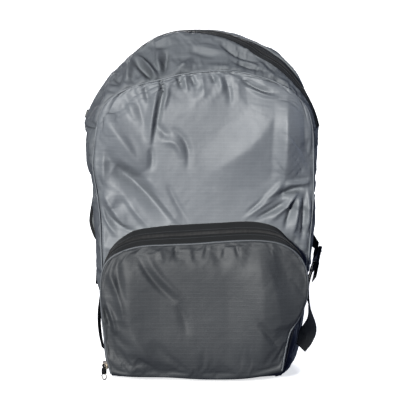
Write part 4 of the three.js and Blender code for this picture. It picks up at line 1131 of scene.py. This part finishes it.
def pocket_panel():
    side = POCKET_CORNER_LEFT * POCKET_FINENESS
    across = (POCKET_CORNER_RIGHT - POCKET_CORNER_LEFT) * POCKET_FINENESS_ACROSS
    left = catmull(POCKET_EDGE, np.linspace(0, POCKET_CORNER_LEFT, side + 1))
    right = catmull(POCKET_EDGE, np.linspace(POCKET_SPANS, POCKET_CORNER_RIGHT, side + 1))
    top = catmull(POCKET_EDGE, np.linspace(POCKET_CORNER_LEFT, POCKET_CORNER_RIGHT, across + 1))
    bottom = catmull(HEM, np.linspace(0, len(HEM) - 1, across + 1))
    front, u, v = patch(bottom, top, left, right)
    front[..., 1] -= CROWN_SHARE * POCKET_CROWN * crown_share(u, v, 2.4, 6)
    front = stuffed(front, rim_of(u.shape), growth=0.02, pressure=2.0, step=2)
    place = photo_place(front)
    relief = fold_heights(*place, POCKET_FOLDS)
    edge = photo_place(catmull(POCKET_EDGE, np.linspace(POCKET_SPANS, 0, 240)))
    relief += gathers(*place, *edge, count=60, reach=6, width=1.6, height=0.5 * MM, seed=11)
    relief += 0.35 * MM * crumple(front, 26, 8.0) + 0.12 * MM * crumple(front, 100, 2.0, 2)
    front[..., 1] -= relief * rim_rise(u, v, 0.015, 0.02)
    back = np.linspace(1, 0, UNDER_STEPS + 1)[:-1, None]
    z = lerp(bottom[None, :, 2], SEAM_LIFT + CLOTH, np.sin(np.pi / 2 * back))
    rear = depth_on(front_grid[:30], bottom[:, 0], np.full(len(bottom), SEAM_LIFT + 2 * CLOTH)) - CLEARANCE
    under = columns(bottom[None, :, 0], lerp(EDGE_Y, rear[None], back), z)
    grid = np.concatenate([under, front])
    under_weave = np.stack([under[..., 0], under[..., 1] - EDGE_Y + under[..., 2]], -1)
    weave = np.concatenate([under_weave, front[..., [0, 2]]])
    sheet_piece("pocket_cloth_front", grid, weave, pocket_shaded_cloth, "pocket_panel")


pocket_panel()

# Seams, each with a roll of piping

PIPING = 1.1 * MM  # radius
PIPING_STEP = 2 * MM


def seam_rolls():
    station = np.linspace(PANEL_CORNER_RIGHT, PANEL_CORNER_LEFT, 900)
    path = resample(seam_point(station) - columns(0, 0.8 * MM, 0), PIPING_STEP)
    tube_piece("front_piping", path, PIPING * (0.8 + 0.35 * crumple(path, 70, 2.0, 2)), cloth)
    path = resample(back_seam_point(station) - columns(0, 0.4 * MM, 0), PIPING_STEP)
    tube_piece("back_piping", path, PIPING, cloth)
    edge = catmull(POCKET_EDGE, np.linspace(0, POCKET_SPANS, 700))
    path = resample(edge + columns(0, 0.5 * MM, 0), PIPING_STEP)
    # The pocket's piping is lighter than the pocket: painted highlight.
    tube_piece("pocket_piping", path, PIPING * 1.2, hem_highlight_cloth)


seam_rolls()

# Straps


def pad_course(side, table, steps):
    x = side * table["out"] * HALF_WIDTH
    z = table["z"] * HEIGHT
    across = np.array([-0.5, 0, 0.5])[None] * PAD_WIDTH
    behind = depth_on(plain_back[::3, ::3], x[:, None] + across, z[:, None]).max(axis=1)
    y = behind + PAD_THICKNESS / 2 + CLEARANCE + table["lift"] * STRAP_STANDOFF
    places = np.linspace(0, len(x) - 1, steps + 1)
    path = catmull(columns(x, y, z), places)
    angle = np.radians(catmull(table["turn"][:, None], places)[:, 0])
    along = unit(np.gradient(path, axis=0))
    width = columns(side * np.cos(angle), -np.sin(angle), 0)
    width = unit(width - along * np.sum(width * along, axis=1, keepdims=True))
    return path, width, along


PAD_STEPS = 90
PAD_SIDES = 36
BINDING = 2.1 * MM  # radius
STITCH_INSET = 3.4 * MM


def shoulder_pad(name, side, table):
    """A padded strap with a sewn channel along each edge, bound and stitched."""
    path, width, along = pad_course(side, table, PAD_STEPS)
    flat = unit(np.cross(along, width))
    angle = ring_angles(PAD_SIDES)
    across = rounded(np.cos(angle), 0.55)
    outward = rounded(np.sin(angle), 0.8)
    channel = 1 - 0.28 * hump(np.abs(across) - 0.72, 0.07)
    share = np.linspace(0, 1, len(path))
    end = np.clip((1 - share) / 0.16, 0, 1)
    taper = 0.62 + 0.38 * np.sin(np.pi / 2 * end)
    soft = 1 + 0.05 * crumple(path, 60, side + 3.0, 2)
    half = (PAD_WIDTH / 2 - 0.8 * MM) * taper * soft
    from_end = np.clip(np.minimum(share, 1 - share) / 0.03, 0, 1)
    thick = (PAD_THICKNESS / 2) * (0.35 + 0.65 * from_end**0.5)
    points = (path[:, None]
              + width[:, None] * (half[:, None] * across[None])[..., None]
              + flat[:, None] * (thick[:, None] * (outward * channel)[None])[..., None])
    node = f"shoulder_pad_{'right' if side > 0 else 'left'}"
    made = add_object(name, tube_mesh(name, points), mesh_cloth, node)
    for edge in (-1, 1):
        rim = path + width * (edge * half)[:, None]
        label = "outer" if edge > 0 else "inner"
        tube_piece(f"{name}_binding_{label}", rim, BINDING, binding, flat=(flat, 0.9), sides=10)
        for face in (-1, 1):
            inset = path + width * (edge * (half - STITCH_INSET))[:, None]
            row = inset + flat * (face * thick * 0.86)[:, None]
            facing = "rear" if face > 0 else "front"
            stitch_row(f"{name}_thread_{label}_{facing}", row, flat * face)


shoulder_pad("strap_pad_right", 1, RIGHT_PAD)
shoulder_pad("strap_pad_left", -1, LEFT_PAD)

BUCKLE_LENGTH = 3 * BUCKLE_BAR + 2 * BUCKLE_SLOT
OUTER_BAR = (BUCKLE_LENGTH - BUCKLE_BAR) / 2
TURN_REACH = BUCKLE_BAR / 2 + CLEARANCE + WEBBING / 2
TURN_RISE = BUCKLE_THICKNESS / 2 + CLEARANCE + WEBBING / 2
UPPER_WEBBING_SEAT = 0.3  # share of the pad's width that the webbing is sewn off its middle
WEBBING_STEP = 1.2 * MM
WEBBING_SIDES = 20


def webbing_course(table, steps=60):
    normals = gusset_normal(table["station"], table["depth"])
    standoff = WEBBING / 2 + CLEARANCE + table["lift"] * WEBBING_WIDTH
    points = gusset_point(table["station"], table["depth"]) + normals * standoff[:, None]
    places = np.linspace(0, len(points) - 1, steps + 1)
    path = catmull(points, places)
    along = unit(np.gradient(path, axis=0))
    flat = unit(np.cross(along, catmull(normals, places)))
    twist = np.radians(catmull(table["twist"][:, None], places))
    return path, flat * np.cos(twist) + np.cross(along, flat) * np.sin(twist)


def buckle_frame(table):
    path, directions = webbing_course(table, 400)
    up = -unit(path[1] - path[0])
    across = directions[0]
    out = unit(np.cross(up, across))
    centre = path[0] + up * (OUTER_BAR + TURN_REACH) + out * TURN_RISE
    return up, across, out, centre


def turn_round_bar(place, end):
    up, across, out, centre = place
    radius = CLEARANCE + WEBBING / 2
    bar_edge = OUTER_BAR - BUCKLE_BAR / 2
    angles = np.linspace(0, np.pi / 2, 7)

    def arc(face, angle):
        rise = face * (BUCKLE_THICKNESS / 2 + radius * math.cos(angle))
        return centre + out * rise + up * end * (bar_edge - radius * math.sin(angle))

    approach = centre - out * TURN_RISE + up * end * (OUTER_BAR + 2 * TURN_REACH)
    return np.array([approach, *[arc(-1, a) for a in angles], *[arc(1, a) for a in angles[::-1]]])


def ribbon(name, path, widths, replaced):
    """Woven webbing along a path, with rounded edges and a slight crown."""
    both = resample(np.hstack([path, widths]), WEBBING_STEP)
    path = both[:, :3]
    widths = unit(both[:, 3:])
    flat = unit(np.cross(unit(np.gradient(path, axis=0)), widths))
    angle = ring_angles(WEBBING_SIDES)
    across = rounded(np.cos(angle), 0.35)
    selvedge = 1 + 0.25 * hump(np.abs(across) - 0.86, 0.08)
    outward = rounded(np.sin(angle), 0.45) * selvedge
    points = (path[:, None] + widths[:, None] * (across * WEBBING_WIDTH / 2)[None, :, None]
              + flat[:, None] * (outward * WEBBING / 2 * 0.85)[None, :, None])
    travelled = np.arange(len(path)) * WEBBING_STEP
    weave = np.stack(np.broadcast_arrays(travelled[:, None], (across * WEBBING_WIDTH / 2)[None]), -1)
    add_object(name, tube_mesh(name, points, weave), strap, replaced)


def lower_webbing(name, table, replaced):
    path, directions = webbing_course(table)
    place = buckle_frame(table)
    turn = turn_round_bar(place, -1)[1:][::-1]
    up, across, out, centre = place
    tail = centre + out * TURN_RISE - up * (OUTER_BAR + WEBBING_TAIL)
    whole = np.vstack([tail, turn, path])
    widths = np.vstack([np.tile(across, (len(turn) + 1, 1)), directions])
    ribbon(name, whole, widths, replaced)


def upper_webbing(name, side, pad_table, table, replaced):
    place = buckle_frame(table)
    path, width, along = pad_course(side, pad_table, 56)
    seat = path[-1] + width[-1] * UPPER_WEBBING_SEAT * PAD_WIDTH
    start = seat + along[-1] * CLEARANCE
    below = seat + along[-1] * BUCKLE_BAR
    like = width[-1] * np.sign(place[1] @ width[-1])
    turn = turn_round_bar(place, 1)
    whole = np.vstack([start, below, turn])
    widths = np.vstack([like, like, np.tile(place[1], (len(turn), 1))])
    ribbon(name, whole, widths, replaced)


lower_webbing("strap_lower_right", RIGHT_WEBBING, "lower_webbing_right")
lower_webbing("strap_lower_left", LEFT_WEBBING, "lower_webbing_left")
upper_webbing("strap_upper_right", 1, RIGHT_PAD, RIGHT_WEBBING, "upper_webbing_right")
upper_webbing("strap_upper_left", -1, LEFT_PAD, LEFT_WEBBING, "upper_webbing_left")

# Hardware keeps the frame's own shapes, with softened edges


def dress_node(name, material, width):
    node = nodes[name]
    node.data.materials.clear()
    node.data.materials.append(material)
    bevel = node.modifiers.new("edges", "BEVEL")
    bevel.width = width
    bevel.segments = 3
    bevel.limit_method = "ANGLE"
    bevel.angle_limit = math.radians(35)


for node_name, finish, edge_width in [
    ("buckle_right", plastic, 0.7 * MM),
    ("buckle_left", plastic, 0.7 * MM),
    ("main_zip_slider", plastic, 0.4 * MM),
    ("pocket_slider", metal, 0.25 * MM),
    ("pocket_pull", plastic, 0.4 * MM),
    # the pull ring's metal is darkened: painted reflection
    ("pull_ring", ring_dark_reflection_metal, 0.05 * MM),
]:
    dress_node(node_name, finish, edge_width)

# Floor, light and camera


FLOOR_REACH = 14


def floor():
    """A pale floor that glows a little, so it is as white as the photograph's ground."""
    corners = np.array([(-1, -1, 0), (1, -1, 0), (1, 1, 0), (-1, 1, 0)]) * FLOOR_REACH
    mesh = new_mesh("floor", corners, [(0, 1, 2, 3)])
    made = linked("floor", mesh)
    glow = {"Emission_Color": (0.98, 0.99, 1.0, 1), "Emission_Strength": 0.55}
    mesh.materials.append(Shader("floor_finish").finish(grey(0.8), 0.7, **glow))
    made.visible_diffuse = False
    made.visible_glossy = False


def sun_light(name, azimuth, elevation, strength, softness, colour):
    """A distant soft light. Azimuth 0 shines from the front and 90 from the left, in degrees."""
    light = bpy.data.lights.new(name, "SUN")
    light.energy = strength
    light.angle = math.radians(softness)
    light.color = colour
    turn = math.radians(azimuth)
    rise = math.radians(elevation)
    source = Vector((-math.sin(turn) * math.cos(rise), -math.cos(turn) * math.cos(rise), math.sin(rise)))
    linked(name, light).rotation_euler = source.to_track_quat("Z", "Y").to_euler()


def world_light(strength, colour):
    world = bpy.data.worlds.new("studio")
    world.use_nodes = True
    world.node_tree.nodes["Background"].inputs["Color"].default_value = colour + (1,)
    world.node_tree.nodes["Background"].inputs["Strength"].default_value = strength
    bpy.context.scene.world = world


def camera():
    data = bpy.data.cameras.new("photo_camera")
    data.lens = FOCAL
    data.sensor_width = SENSOR
    made = linked("photo_camera", data)
    made.location = CAMERA_PLACE
    made.rotation_euler = (CAMERA_TARGET - Vector(CAMERA_PLACE)).to_track_quat("-Z", "Y").to_euler()
    bpy.context.scene.camera = made


floor()
sun_light("key", 22, 17, 5.3, 10, (1.0, 0.995, 0.97))
sun_light("right", -112, 12, 1.1, 30, (0.8, 0.88, 1.0))
sun_light("back", 172, 16, 2.6, 20, (1.0, 1.0, 1.0))
world_light(0.11, (0.4, 0.48, 1.0))
bpy.context.scene.view_settings.view_transform = "Standard"
bpy.context.scene.view_settings.look = "Medium High Contrast"
camera()
